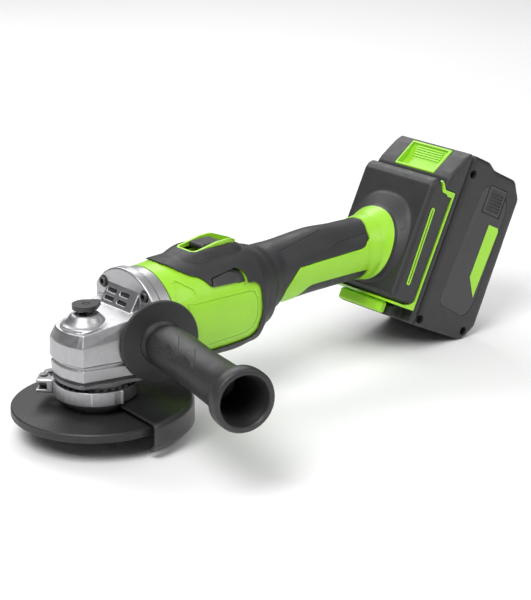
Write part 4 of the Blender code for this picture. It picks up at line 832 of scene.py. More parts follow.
def vent_outline(grow=0.0):
    """The side view of the air inlet: a low arch above the green panel's notch."""
    arch = [(74.0 - grow, RIM_Z + 71.2), (76.0 - grow, RIM_Z + 76.5)]
    arch += arc((96.0, RIM_Z + 71.5), 7.4 + grow, 100, 0, 10)
    arch += [(103.4 + grow, RIM_Z + 68.9), (96.5, RIM_Z + 69.6 - grow), (94.0, RIM_Z + 70.6 - grow)]
    return arch + [(75.0, RIM_Z + 71.2 - grow)]


def insert_outline():
    """The side view of the textured insert in the air inlet."""
    arch = [(75.0, RIM_Z + 71.6), (76.8, RIM_Z + 76.0)]
    arch += arc((90.0, RIM_Z + 71.0), 7.0, 100, 8, 10)
    return arch + [(96.8, RIM_Z + 70.9)]


def hump_ring(x):
    """A section of the raised pad that carries the switch."""
    rise = smooth_step(min(1.0, (x - 50) / 32))
    fall = smooth_step(min(1.0, max(0.0, (x - 104) / 16)))
    top = RIM_Z + 84.0 + 8.0 * rise - 5.0 * fall
    half = 14.0 + 3.0 * rise
    outline = superellipse(half, 9.0, 3.0, 44)
    return [Vector((x, y, top - 9 + rise)) for y, rise in outline]


def ridge_ring(x):
    """A section of the soft shoulder that runs back from the switch towards the handle."""
    rise = smooth_step(min(1.0, (x - 56) / 26))
    outline = superellipse(24.5, 15.0, 2.6, 44)
    return [Vector((x, y, RIM_Z + 69.5 + 3.5 * rise + up)) for y, up in outline]


def switch_outline(inset):
    """The switch frame's plan: round corners at the front, drawn in to a narrow rear end."""
    half = 10.5 - inset
    corner = 5.0 - inset
    outline = arc((74.5 + 5.0, half - corner), corner, 90, 180, 12)
    outline += arc((74.5 + 5.0, corner - half), corner, 180, 270, 12)
    outline += [(102, -half), (107, -half + 0.8), (116.8 - inset, -4.5 + inset / 2)]
    return outline + [(116.8 - inset, 4.5 - inset / 2), (107, half - 0.8), (102, half)]


def make_switch():
    """The green frame, and the slider that runs in it with a foot below it."""
    frame = plate("switch_frame", switch_outline(GAP), MOTOR_Z + 37.3, RIM_Z + 94.0, PLAN)
    frame = cut(frame, plate("window", switch_outline(2.2), MOTOR_Z + 30, RIM_Z + 100, PLAN))
    frame = cut(frame, body_loft("inside", 40, 130, 1.9))
    frame = cut(frame, make_frame_arch())
    finish(frame)
    slider = box("switch_slider", (85, -7.6, MOTOR_Z + 37.6), (103, 7.6, RIM_Z + 92.6), PLAN, 1.2)
    for i in range(4):
        x = 90 + 3 * i
        slider = cut(slider, box("groove", (x - 0.5, -6, RIM_Z + 92.0), (x + 0.5, 6, RIM_Z + 96)))
    foot = box("foot", (92, -3, SWITCH_ROD_Z + 1.5 + GAP), (101, 3, MOTOR_Z + 39))
    finish(join(slider, foot))


def make_frame_arch():
    """Everything above the frame's arched top, which is highest behind the middle."""
    crest = [(60, 110), (60, RIM_Z + 89)]
    crest += [(72, RIM_Z + 89.5), (84, RIM_Z + 91.2), (96, RIM_Z + 93.4), (106, RIM_Z + 93.6)]
    crest += [(118, RIM_Z + 89.5), (130, RIM_Z + 86), (130, 130), (60, 130)]
    return plate("above", crest, -30, 30, SIDE)


def foot_outline():
    """The battery foot's side view, in the battery's frame."""
    return [
        (-FOOT_DEEP + 2.0, FOOT_LOW),
        (-GAP, FOOT_LOW),
        (-GAP, 99.8),
        (-13.0, 99.8),
        (-18.0, FOOT_HIGH),
        (-23.0, FOOT_HIGH - 1.5),
        (-FOOT_DEEP, 99.0),
        (-FOOT_DEEP, 16.0),
    ]


def handle_loft(name, start, grow):
    """The handle and its neck as one form, from start to inside the foot."""
    return body_loft(name, start, BODY_END, grow, 2.0)


def make_handle_shells():
    """The handle and battery foot: one hollow form, parted down the middle into two shells."""
    whole = handle_loft("whole", BODY_JOINT + GAP, 0.0)
    whole = join(whole, plate("foot", foot_outline(), -FOOT_HALF, FOOT_HALF, BATTERY, 3.0))
    whole = cut(whole, handle_loft("hollow", BODY_JOINT - 1, -BODY_WALL - 0.4))
    whole = cut(whole, box("room", (-22.0, FOOT_LOW + 6, -29.0), (-16.5, 92, 29.0), BATTERY))
    whole = cut(whole, box("channel", (-CHANNEL_DEEP, -10, -CHANNEL_HALF), (10, 140, CHANNEL_HALF), BATTERY))
    whole = cut(whole, box("terminal_way", (-19.0, 30, -14), (0, 60, 14), BATTERY))
    whole = cut(whole, box("rod_way", (BODY_JOINT - 1, -2.6, MODULE_TOP), (128, 2.6, SWITCH_ROD_Z + 2)))
    whole = cut(whole, make_collar_groove())
    whole = cut(whole, make_stripe_recess())
    whole = rounded(whole, 0.62, 9)
    whole = cut(whole, groove_round_handle())
    left = copy_of(whole, "handle_shell_left")
    left = cut(left, box("right_half", (100, -80, -20), (330, 0.02, 160)))
    whole = cut(whole, box("left_half", (100, -0.02, -20), (330, 80, 160)))
    whole.name = "handle_shell_right"
    finish(left)
    finish(whole)


def merged(pieces):
    """Puts separate closed shapes into one object without changing them."""
    bm = bmesh.new()
    for piece in pieces:
        bm.from_mesh(piece.data)
        bpy.data.objects.remove(piece)
    mesh = bpy.data.meshes.new("merged")
    bm.to_mesh(mesh)
    bm.free()
    return link("merged", mesh)


def wire(name, points, radius):
    """A round bar along a line of points."""
    curve = bpy.data.curves.new(name, "CURVE")
    curve.dimensions = "3D"
    curve.bevel_depth = radius * MM
    curve.bevel_resolution = 2
    curve.use_fill_caps = True
    spline = curve.splines.new("POLY")
    spline.points.add(len(points) - 1)
    for point, place in zip(spline.points, points):
        point.co = (*(Vector(place) * MM), 1)
    return settle(link(name, curve))


def on_body(x, angle, grow=0.0):
    """The point of the body's surface at x, angle degrees round from the top towards the right side."""
    middle, tall, half, square, lean = body_shape(x)
    up = Vector((sin(radians(lean)), 0, cos(radians(lean))))
    power = 2 / square
    s = sin(radians(angle))
    c = cos(radians(angle))
    side = (half + grow) * copysign(abs(s) ** power, s)
    rise = (tall + grow) * copysign(abs(c) ** power, c)
    return Vector((x, -side, middle)) + up * rise


def mirrored_line(line):
    """The same line of (x, angle) points on the body's other side."""
    return tuple((x, -angle) for x, angle in line)


GRIP_FRONT = ((150, 34), (160, 30), (176, 26), (188, 22), (195, 14))
GRIP_REAR = ((186, 86), (190, 74), (196, 62), (204, 54), (230, 46))
GRIP_LINES = (
    GRIP_FRONT + ((197, 0),) + mirrored_line(GRIP_FRONT)[::-1],
    GRIP_REAR,
    mirrored_line(GRIP_REAR),
)


def groove_round_handle():
    """Thin parting grooves that mark the soft pads on the grip."""
    bars = []
    for line in GRIP_LINES:
        points = []
        for (x0, a0), (x1, a1) in zip(line, line[1:]):
            points += [on_body(x0 + (x1 - x0) * i / 6, a0 + (a1 - a0) * i / 6) for i in range(6)]
        points.append(on_body(*line[-1]))
        bars.append(wire("groove", points, 0.38))
    return merged(bars)


def make_collar_groove():
    """The groove round the handle in which the green collar lies."""
    groove = body_loft("groove", COLLAR_START, COLLAR_END, 5.0, 1.0)
    groove = cut(groove, body_loft("core", COLLAR_START - 4, COLLAR_END + 4, -1.2, 1.0))
    return cut(groove, collar_front(GAP / 2))


def collar_front(shift):
    """What the handle's dark top leaves of the collar: a cutter whose rear face slopes back as it rises."""
    steps = ((0.4, RIM_Z + 68), (1.6, RIM_Z + 74), (4.4, RIM_Z + 78.5), (7.0, RIM_Z + 81.5), (9, 130))
    slope = [(COLLAR_START + along - shift, z) for along, z in steps]
    return plate("above", [(226, RIM_Z + 68)] + slope + [(226, 130)], -40, 40, SIDE)


def stripe_outline(grow=0.0):
    """The green inlay's side view: a long band with a pointed front that drops to the handle's underside."""
    return [
        (144.0 - 2 * grow, RIM_Z + 43.5 - grow),
        (160.5 - grow, RIM_Z + 60.5 + grow),
        (163.5, RIM_Z + 62.6 + grow),
        (222.0, RIM_Z + 63.4 + grow),
        (227.0, RIM_Z + 64.6 + grow),
        (229.6, RIM_Z + 67.5 + grow),
        (236.0, RIM_Z + 71.0 + grow),
        (236.0, RIM_Z + 46.5 - grow),
        (176.0, RIM_Z + 47.0 - grow),
        (172.5, RIM_Z + 45.8 - grow),
        (165.0 + grow, RIM_Z + 39.0 - grow),
        (158.0, RIM_Z + 35.0 - grow),
    ]


def make_stripe_recess():
    """The shallow recess for the green inlays on both sides."""
    outline = stripe_outline(0.12)
    ring_cut = cut(body_loft("recess", 140, COLLAR_START + 2.0, 5.0), body_loft("core", 130, 240, -1.2))
    return common(ring_cut, plate("outline", outline, -60, 60, SIDE))


def make_stripes():
    """The green inlay on each side of the handle."""
    for name, side in (("handle_stripe_right", -1), ("handle_stripe_left", 1)):
        low, high = (4, 60) if side < 0 else (-60, -4)
        stripe = body_skin(name, 140, COLLAR_START + 0.4, -1.0, 0.4, 1.5)
        stripe = common(stripe, plate("outline", stripe_outline(0.0), low, high, SIDE))
        finish(stripe)


def make_handle_collar():
    """The green ring between the handle and the foot, which swells towards the foot."""
    rings = []
    for i in range(34):
        x = COLLAR_START + 0.42 + (COLLAR_END - COLLAR_START - 0.7) * i / 33
        t = i / 33
        rings.append(body_ring(x, 0.4 + 1.2 * smooth_step(t)))
    collar = loft("handle_collar", rings)
    inside = body_loft("inside", COLLAR_START - 4, COLLAR_END + 4, -1.2 + GAP, 1.0)
    return finish(cut(collar, inside, collar_front(0.0)))


def make_foot_pieces():
    """The green seal round the joint, with its line up each side, and the end block below it."""
    seal = plate("foot_seal", foot_seal_outline(), -FOOT_HALF - 0.4, FOOT_HALF + 0.4, BATTERY)
    for side in (1, -1):
        low, high = sorted((side * (FOOT_HALF - 1.5), side * (FOOT_HALF + 0.55)))
        strip = plate("strip", seal_strip_outline(), low, high, BATTERY)
        slot = plate("slot", capsule(1.7), low, high, BATTERY)
        slot = cut(slot, plate("core", capsule(0.55), low - 1, high + 1, BATTERY))
        seal = join(seal, strip, slot)
    rail_way = box("rail_way", (-CHANNEL_DEEP, -10, -CHANNEL_HALF), (10, 40, CHANNEL_HALF), BATTERY)
    finish(cut(seal, rail_way))
    block_high = (-CHANNEL_DEEP - 0.3, FOOT_LOW - 2.0 - GAP, 22)
    block = box("foot_end_block", (-19.5, 0.5, -22), block_high, BATTERY, 1.5)
    finish(block)


def seal_strip_outline():
    """The green line beside the battery: up the joint, over a hook and along the foot's upper edge."""
    outer = [(-0.35, FOOT_LOW - 1.0), (-0.35, 99.0), (-1.0, 100.0)]
    outer += [(-11.8, 99.8), (-14.6, 103.2), (-17.2, 105.0)]
    inner = [(-17.9, 104.2), (-15.8, 102.4), (-13.2, 97.4), (-8.5, 97.0)]
    inner += [(-7.0, 95.8), (-2.6, 96.0), (-1.9, 94.5)]
    return outer + inner + [(-1.9, FOOT_LOW + 5.0), (-6.0, FOOT_LOW + 1.2), (-14.0, FOOT_LOW - 1.0)]


def capsule(radius):
    """The long slot beside the foot's rear corner, in the battery's side view."""
    low = Vector((-15.2, 27.5))
    high = Vector((-17.0, 82.5))
    tilt = degrees(atan2(high.y - low.y, high.x - low.x))
    outline = arc(tuple(low), radius, tilt + 90, tilt + 270, 10)
    return outline + arc(tuple(high), radius, tilt - 90, tilt + 90, 10)


def foot_seal_outline():
    """A strip below the foot, which closes its lower end round the rails."""
    low = FOOT_LOW - 2.0
    return [(-FOOT_DEEP + 1.5, low), (-GAP, low), (-GAP, FOOT_LOW - GAP), (-FOOT_DEEP + 2.5, FOOT_LOW - GAP)]


def battery_outline(front, inset=0.0):
    """The rear shell's side view from front back: chamfered heel, upright back and stepped top."""
    return [
        (front, inset),
        (61.5, inset + 0.8),
        (BATTERY_DEEP - inset, 14.0 + inset / 2),
        (BATTERY_DEEP - 1.5 - inset, 115.0),
        (59.5, 127.0 - inset),
        (33.5, 127.6 - inset),
        (26.0, BATTERY_LONG - inset),
        (front, BATTERY_LONG - inset),
    ]


def make_battery_base():
    """The front shell: the joint face with its rails, and the leaning top block with the latch pocket."""
    outline = [
        (0, 0),
        (BASE_DEEP, 0),
        (BASE_DEEP, BATTERY_LONG),
        (2.5, BATTERY_LONG - 0.2),
        (-2.0, BATTERY_LONG - 5.0),
        (-10.5, 112.5),
        (-12.3, 108.0),
        (-12.5, 100.4),
        (0, 100.4),
    ]
    base = plate("battery_base", outline, -BATTERY_HALF, BATTERY_HALF, BATTERY, 1.2)
    rail = box("rails", (-RAIL_DEEP, 0, -RAIL_HALF), (1, 101.5, RAIL_HALF), BATTERY)
    inner = TERMINAL_HALF + 0.6
    left_lip = box("left_lip", (-CHANNEL_DEEP + 0.6, 0, -RAIL_HALF), (-4, 8.0, -inner), BATTERY)
    right_lip = box("right_lip", (-CHANNEL_DEEP + 0.6, 0, inner), (-4, 8.0, RAIL_HALF), BATTERY)
    base = join(base, rail, left_lip, right_lip)
    for y in (-8, 0, 8):
        base = cut(base, box("blade_slot", (-RAIL_DEEP - 5, -2, y - 1.2), (-1.2, 62, y + 1.2), BATTERY))
    base = rounded(base, 0.7, 8)
    base = cut(base, latch_room(0.3, 7.0))
    return finish(base)


def latch_frame():
    """A frame on the leaning top face: first axis up the slope, second across, third out of the face."""
    low = BATTERY @ Vector((-12.5, 107.5, 0))
    high = BATTERY @ Vector((0.8, BATTERY_LONG, 0))
    slope = (high - low).normalized()
    return axes(low, slope, (0, 1, 0))


def latch_room(grow, depth):
    """The pocket in which the latch moves."""
    return box("room", (1.2 - grow, -20 - grow, -depth), (25.2 + grow, 20 + grow, 3), latch_frame())


def make_latch():
    """The release latch: a thin frame round a deep tray whose far wall is ribbed for the thumb."""
    latch = box("battery_latch", (1.2, -20, -4.9), (25.2, 20, 0.9), latch_frame(), 0.6)
    tray = [(2.8, 5.0), (2.8, -4.1), (14.0, -4.1), (23.2, -0.8), (23.6, 5.0)]
    side_view = latch_frame() @ axes((0, 0, 0), (1, 0, 0), (0, 0, 1))
    latch = cut(latch, plate("tray", tray, -18.2, 18.2, side_view))
    for i in range(5):
        t = (i + 0.5) / 5
        place = (14.0 + 8.6 * t, 0, -4.1 + 3.1 * t)
        low = (place[0] - 0.5, -13, place[2] - 0.6)
        high = (place[0] + 0.5, 13, place[2] + 0.75)
        latch = join(latch, box("rib", low, high, latch_frame()))
    return finish(latch)


def make_battery_cover():
    """The rear shell, pillowed along its edges, open towards the front shell."""
    front = BASE_DEEP + GAP
    wall = 2.6
    half = BATTERY_HALF - wall
    cover = plate("battery_cover", battery_outline(front + 2.2), -BATTERY_HALF, BATTERY_HALF, BATTERY)
    cover = rounded(cover, 1.1, 34)
    neck = plate("neck", battery_outline(front, 2.4), -BATTERY_HALF + 2.6, BATTERY_HALF - 2.6, BATTERY)
    neck = common(neck, box("near", (front - 1, -5, -50), (front + 6, BATTERY_LONG + 5, 50), BATTERY))
    cover = join(cover, neck)
    inside = battery_outline(front - 5, wall + 2.4)
    cover = cut(cover, plate("inside", inside, -half + 2.4, half - 2.4, BATTERY))
    for side in (1, -1):
        low, high = sorted((side * (BATTERY_HALF - 0.55), side * (BATTERY_HALF + 5)))
        cover = cut(cover, plate("label_room", panel_outline(), low, high, BATTERY))
        for u, v in BATTERY_SCREWS:
            place = BATTERY @ Vector((u, v, side * BATTERY_HALF))
            across = (0, -side, 0)
            cover = cut(cover, rod("screw_room", 3.3, -6, 9, place, across, 30))
    cover = cut(cover, gauge_box("pocket", GAP, 8.0))
    grooves = []
    for i in range(REAR_GROOVES):
        low = (BATTERY_DEEP - 2.5, REAR_GROOVE_LOW + REAR_GROOVE_PITCH * i, -GROOVE_HALF)
        high = (BATTERY_DEEP + 4, low[1] + REAR_GROOVE_WIDE, GROOVE_HALF)
        grooves.append(box("rear_groove", low, high, BATTERY))
    cover = cut(cover, merged(grooves))
    return finish(cover)


def panel_outline(inset=0.0):
    """The recessed label panel's outline on the battery's side."""
    corners = (
        (22.5, 20.5, 6.0),
        (55.0, 17.5, 6.0),
        (60.5, 30.0, 6.0),
        (60.0, 104.0, 6.0),
        (52.5, 115.0, 6.0),
        (27.0, 115.5, 7.0),
    )
    outline = []
    for i, (u, v, radius) in enumerate(corners):
        before = Vector(corners[i - 1][:2]) - Vector((u, v))
        after = Vector(corners[(i + 1) % len(corners)][:2]) - Vector((u, v))
        reach = min(radius, before.length / 2.2, after.length / 2.2)
        a = Vector((u, v)) + before.normalized() * reach
        b = Vector((u, v)) + after.normalized() * reach
        for k in range(7):
            t = k / 6
            point = a * (1 - t) ** 2 + Vector((u, v)) * 2 * t * (1 - t) + b * t ** 2
            outline.append(tuple(point))
    if inset:
        middle = Vector((40.0, 67.0))
        outline = [tuple(Vector(p) - (Vector(p) - middle).normalized() * inset) for p in outline]
    return outline


def make_label(side):
    """The label panel that lies in the battery's side."""
    low, high = sorted((side * (BATTERY_HALF - 0.5), side * (BATTERY_HALF - 0.1)))
    label = plate("label_panel", panel_outline(0.6), low, high, BATTERY)
    return cut(label, gauge_box("pocket", 1.0, 8.0))


def make_badge(side):
    """The plain green badge on the label panel, drawn to a point at its lower end."""
    low, high = sorted((side * (BATTERY_HALF - 0.2), side * (BATTERY_HALF + 0.05)))
    outline = [(46.4, 88.8), (46.0, 47.5), (57.0, 34.2), (58.8, 86.3), (57.2, 88.8)]
    return plate("label_badge", outline, low, high, BATTERY)


def gauge_box(name, grow, depth):
    """The space of the charge-gauge button, grown by grow."""
    low = (34.0 - grow, 96.0 - grow, BATTERY_HALF - depth)
    high = (53.5 + grow, 116.5 + grow, BATTERY_HALF + 0.4)
    return box(name, low, high, BATTERY)


def make_gauge_button():
    """The charge-gauge button on the battery's right side, ribbed along."""
    low = (34.0, 96.0, BATTERY_HALF - 2.2)
    high = (53.5, 116.5, BATTERY_HALF + 0.3)
    button = box("charge_gauge_button", low, high, BATTERY, 0.5)
    for i in range(6):
        v = 98.6 + 2.4 * i
        groove = box("groove", (37.0, v, BATTERY_HALF - 0.3), (50.5, v + 0.9, BATTERY_HALF + 1), BATTERY)
        button = cut(button, groove)
    return finish(button)


def on_grip(along, angle, radius):
    """A point on the side handle at that distance from the head and angle round it."""
    place = axes_along(HANDLE_AXIS)
    turn = radians(angle)
    return Vector(HANDLE_BASE) + place @ Vector((radius * cos(turn), radius * sin(turn), along))


def axes_along(direction):
    """A turn whose third axis is the direction, with its first as level as it can be."""
    third = Vector(direction).normalized()
    first = third.cross(Vector((0, 0, 1))).normalized()
    return Matrix((first, third.cross(first), third)).transposed()


def grip_radius(along, grip_r):
    """The side handle's radius at that distance from the head."""
    reach = along - HANDLE_FACE
    stations = ((14.0, 14.8), (30.0, grip_r), (62.0, grip_r - 0.8), (96.0, grip_r), (110.0, grip_r + 1.6))
    for (a, ra), (b, rb) in zip(stations, stations[1:]):
        if reach <= b:
            return ra + (rb - ra) * max(0.0, (reach - a) / (b - a))
    return stations[-1][1]


def grip_grooves(grip_r):
    """Arched grooves round the grip, and rows of dimples between them."""
    bars = []
    for turn in (0, 90, 180, 270):
        for start in (48.0, 72.0, 96.0):
            points = []
            for i in range(25):
                t = i / 24
                if t < 0.8:
                    along = start + 17.0 * sin(pi * min(1.0, t * 1.25) / 2)
                else:
                    along = start + 17.0 - 9.0 * (t - 0.8) * 5
                angle = turn + 12 + 62 * t
                points.append(on_grip(along, angle, grip_radius(along, grip_r)))
            bars.append(wire("groove", points, 0.36))
            for k in range(4):
                along = start + 1.0 + 2.6 * k
                for offset in (46, 54):
                    point = on_grip(along, turn + offset + 2.0 * k, grip_radius(along, grip_r))
                    bars.append(rod("dimple", 0.5, -0.4, 0.4, point, (0, 0, 1), 8))
    return bars


def make_side_handle():
    """The grip with its hand flange, end flange and deep hollow end."""
    grip_r = 15.2
    outer = [
        (13.0, HANDLE_FACE),
        (HAND_FLANGE_R - 1.0, HANDLE_FACE),
        (HAND_FLANGE_R, HANDLE_FACE + 1.2),
        (HAND_FLANGE_R - 0.6, HANDLE_FACE + 2.6),
        (HAND_FLANGE_R - 1.6, HANDLE_FACE + 2.9),
        (16.4, HANDLE_FACE + 3.9),
        (15.2, HANDLE_FACE + 4.3),
        (14.9, HANDLE_FACE + 5.4),
        (12.8, HANDLE_FACE + 7.0),
        (12.4, HANDLE_FACE + 9.0),
        (13.0, HANDLE_FACE + 13.0),
        (14.4, HANDLE_FACE + 14.6),
        (grip_r, HANDLE_FACE + 30.0),
        (grip_r - 0.8, HANDLE_FACE + 62.0),
        (grip_r, HANDLE_FACE + 96.0),
        (grip_r + 1.0, HANDLE_FACE + 108.0),
        (grip_r + 2.6, HANDLE_FACE + 112.0),
        (19.6, HANDLE_END - 11.0),
        (20.6, HANDLE_END - 9.4),
        (20.8, HANDLE_END - 7.0),
        (20.7, HANDLE_END - 2.0),
        (20.1, HANDLE_END - 0.6),
        (19.2, HANDLE_END),
        (17.2, HANDLE_END),
        (16.6, HANDLE_END - 0.5),
        (16.2, HANDLE_END - 1.6),
    ]
    inner = [
        (15.4, HANDLE_END - 4.5),
        (14.6, HANDLE_END - 6.0),
        (12.5, HANDLE_END - 40.0),
        (STUD_R + GAP, HANDLE_END - 42.0),
    ]
    profile = outer + inner + [(STUD_R + GAP, HANDLE_FACE)]
    grip = turned("side_handle", profile[::-1], HANDLE_BASE, HANDLE_AXIS, 144)
    grip = cut(grip, merged(grip_grooves(grip_r)))
    finish(grip)


# ---------------------------------------------------------------- finishing


SHAPES = {}


def rounded(piece, voxel, rounds):
    """Remeshes a piece evenly and relaxes it, which rounds its edges as moulding or casting does."""
    remesh = piece.modifiers.new("Even mesh", "REMESH")
    remesh.mode = "VOXEL"
    remesh.voxel_size = voxel * MM
    relax = piece.modifiers.new("Soft edges", "SMOOTH")
    relax.factor = 0.5
    relax.iterations = rounds
    return settle_plain(piece)


def settle_plain(piece):
    """Bakes the modifiers of a piece into its mesh."""
    name = piece.name
    bpy.context.view_layer.update()
    graph = bpy.context.evaluated_depsgraph_get()
    mesh = bpy.data.meshes.new_from_object(piece.evaluated_get(graph))
    bpy.data.objects.remove(piece)
    return link(name, mesh)


def finish(piece, sharp=35.0):
    """Keeps a finished shape under the name of the CAD node it stands for."""
    node = piece.name.split(".")[0]
    piece.name = node + "_look"
    piece.data.shade_smooth()
    piece.data.set_sharp_from_angle(angle=radians(sharp))
    SHAPES[node] = piece
    return piece


def body_of(node):
    """The moving body that a CAD node belongs to."""
    for body, members in BODIES.items():
        if node in members:
            return body
    return "tool_body"


def slot_of(node):
    """The material slot that the record gives a CAD node."""
    for entry in frame["record"]["subparts"]:
        if entry["node"] == node:
            return entry["material_slot"]
    return None


def dress(node, look, voxel=0.0, rounds=0):
    """Makes the shape of a CAD node its shown piece, in its material."""
    piece = SHAPES.pop(node)
    if voxel:
        piece = rounded(piece, voxel, rounds)
        piece.data.shade_smooth()
    piece.data.materials.clear()
    piece.data.materials.append(look)
    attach(piece, body_of(node))
    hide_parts(node)
    return piece


# ---------------------------------------------------------------- materials


def tree_of(name):
    """A new node material, its tree and its shader."""
    made = bpy.data.materials.new(name)
    made.use_nodes = True
    tree = made.node_tree
    return made, tree, tree.nodes["Principled BSDF"]


def noise(tree, size, detail=3.0, rough=0.55):
    """A noise pattern whose features are about size millimetres across."""
    place = tree.nodes.new("ShaderNodeTexCoord")
    node = tree.nodes.new("ShaderNodeTexNoise")
    node.inputs["Scale"].default_value = 1000.0 / size
    node.inputs["Detail"].default_value = detail
    node.inputs["Roughness"].default_value = rough
    tree.links.new(place.outputs["Object"], node.inputs["Vector"])
    return node.outputs["Fac"]


def ramp(tree, factor, low, high, start=0.3, end=0.7):
    """A colour or grey that runs from low to high as factor runs from start to end."""
    node = tree.nodes.new("ShaderNodeValToRGB")
    node.color_ramp.elements[0].position = start
    node.color_ramp.elements[1].position = end
    for element, value in zip(node.color_ramp.elements, (low, high)):
        colour = value if isinstance(value, tuple) else (value, value, value)
        element.color = (*colour, 1.0)
    tree.links.new(factor, node.inputs["Fac"])
    return node.outputs["Color"]


def blend_colours(tree, factor, first, second):
    """Mixes two colours, each given as a value or as a node's output."""
    node = tree.nodes.new("ShaderNodeMix")
    node.data_type = "RGBA"
    tree.links.new(factor, node.inputs["Factor"])
    for socket, value in ((6, first), (7, second)):
        if isinstance(value, tuple):
            node.inputs[socket].default_value = (*value, 1.0)
        else:
            tree.links.new(value, node.inputs[socket])
    return node.outputs[2]


def bump(tree, shader, height, strength, distance_mm, after=None):
    """Adds a bump to the shader, on top of the one given as after."""
    node = tree.nodes.new("ShaderNodeBump")
    node.inputs["Strength"].default_value = strength
    node.inputs["Distance"].default_value = distance_mm * MM
    tree.links.new(height, node.inputs["Height"])
    if after:
        tree.links.new(after, node.inputs["Normal"])
    tree.links.new(node.outputs["Normal"], shader.inputs["Normal"])
    return node.outputs["Normal"]


def edges(tree, start=0.52, end=0.60):
    """1 on outer edges and 0 on flat faces."""
    node = tree.nodes.new("ShaderNodeNewGeometry")
    return ramp(tree, node.outputs["Pointiness"], 0.0, 1.0, start, end)


def moulded(name, colour, roughness, grain_mm, depth, edge_lift=0.25, tone=0.07, coat=0.0):
    """Moulded plastic or rubber: a fine pitted grain, slow tone changes and a paler colour on sharp edges.
    """
    made, tree, shader = tree_of(name)
    darker = tuple(c * (1 - tone) for c in colour)
    lighter = tuple(min(1.0, c * (1 + tone)) for c in colour)
    pale_edges = tuple(min(1.0, c * (1 + edge_lift) + 0.02 * edge_lift) for c in colour)
    body = ramp(tree, noise(tree, 18.0, 4.0), darker, lighter)
    tree.links.new(blend_colours(tree, edges(tree), body, pale_edges), shader.inputs["Base Color"])
    fine = noise(tree, grain_mm, 2.0, 0.6)
    gloss = ramp(tree, noise(tree, 6.0, 5.0), roughness - 0.05, roughness + 0.07)
    tree.links.new(gloss, shader.inputs["Roughness"])
    shader.inputs["Coat Weight"].default_value = coat
    shader.inputs["Coat Roughness"].default_value = 0.25
    broad = bump(tree, shader, noise(tree, 9.0, 2.0), 0.15, 0.05)
    bump(tree, shader, fine, depth, 0.06, broad)
    return made


def cast_metal(name, colour, roughness, grain_mm, depth, edge_lift=0.15):
    """Blasted die-cast metal: a soft orange-peel grain, cloudy gloss and a brighter colour on sharp edges.
    """
    made, tree, shader = tree_of(name)
    body = ramp(tree, noise(tree, 14.0, 5.0), tuple(c * 0.93 for c in colour), colour)
    bright = tuple(min(1.0, c * (1 + edge_lift)) for c in colour)
    tree.links.new(blend_colours(tree, edges(tree, 0.51, 0.57), body, bright), shader.inputs["Base Color"])
    shader.inputs["Metallic"].default_value = 1.0
    gloss = ramp(tree, noise(tree, 3.0, 6.0), roughness - 0.06, roughness + 0.08)
    tree.links.new(gloss, shader.inputs["Roughness"])
    broad = bump(tree, shader, noise(tree, 7.0, 2.0), 0.2, 0.04)
    bump(tree, shader, noise(tree, grain_mm, 3.0, 0.6), depth, 0.05, broad)
    return made


def machined(name, colour, roughness, along=(1, 1, 12)):
    """Turned or ground steel: fine streaks, stretched one way."""
    made, tree, shader = tree_of(name)
    place = tree.nodes.new("ShaderNodeTexCoord")
    stretch = tree.nodes.new("ShaderNodeMapping")
    stretch.inputs["Scale"].default_value = along
    tree.links.new(place.outputs["Object"], stretch.inputs["Vector"])
    streaks = tree.nodes.new("ShaderNodeTexNoise")
    streaks.inputs["Scale"].default_value = 260.0
    streaks.inputs["Detail"].default_value = 5.0
    tree.links.new(stretch.outputs["Vector"], streaks.inputs["Vector"])
    shade = ramp(tree, streaks.outputs["Fac"], tuple(c * 0.86 for c in colour), colour)
    tree.links.new(shade, shader.inputs["Base Color"])
    shader.inputs["Metallic"].default_value = 1.0
    gloss = ramp(tree, streaks.outputs["Fac"], roughness + 0.08, roughness)
    tree.links.new(gloss, shader.inputs["Roughness"])
    bump(tree, shader, streaks.outputs["Fac"], 0.25, 0.02)
    return made


def abrasive_look(name):
    """Resin-bonded grit: dark grains, a few of them glinting."""
    made, tree, shader = tree_of(name)
    place = tree.nodes.new("ShaderNodeTexCoord")
    grit = tree.nodes.new("ShaderNodeTexVoronoi")
    grit.inputs["Scale"].default_value = 1500.0
    tree.links.new(place.outputs["Object"], grit.inputs["Vector"])
    grains = ramp(tree, grit.outputs["Distance"], (0.030, 0.030, 0.031), (0.018, 0.018, 0.019), 0.1, 0.7)
    cloudy = ramp(tree, noise(tree, 22.0, 4.0), 0.75, 1.1)
    mix = tree.nodes.new("ShaderNodeMix")
    mix.data_type = "RGBA"
    mix.blend_type = "MULTIPLY"
    mix.inputs["Factor"].default_value = 1.0
    tree.links.new(grains, mix.inputs[6])
    tree.links.new(cloudy, mix.inputs[7])
    tree.links.new(mix.outputs[2], shader.inputs["Base Color"])
    gloss = ramp(tree, grit.outputs["Distance"], 0.40, 0.55)
    tree.links.new(gloss, shader.inputs["Roughness"])
    bump(tree, shader, grit.outputs["Distance"], 0.12, 0.06)
    return made


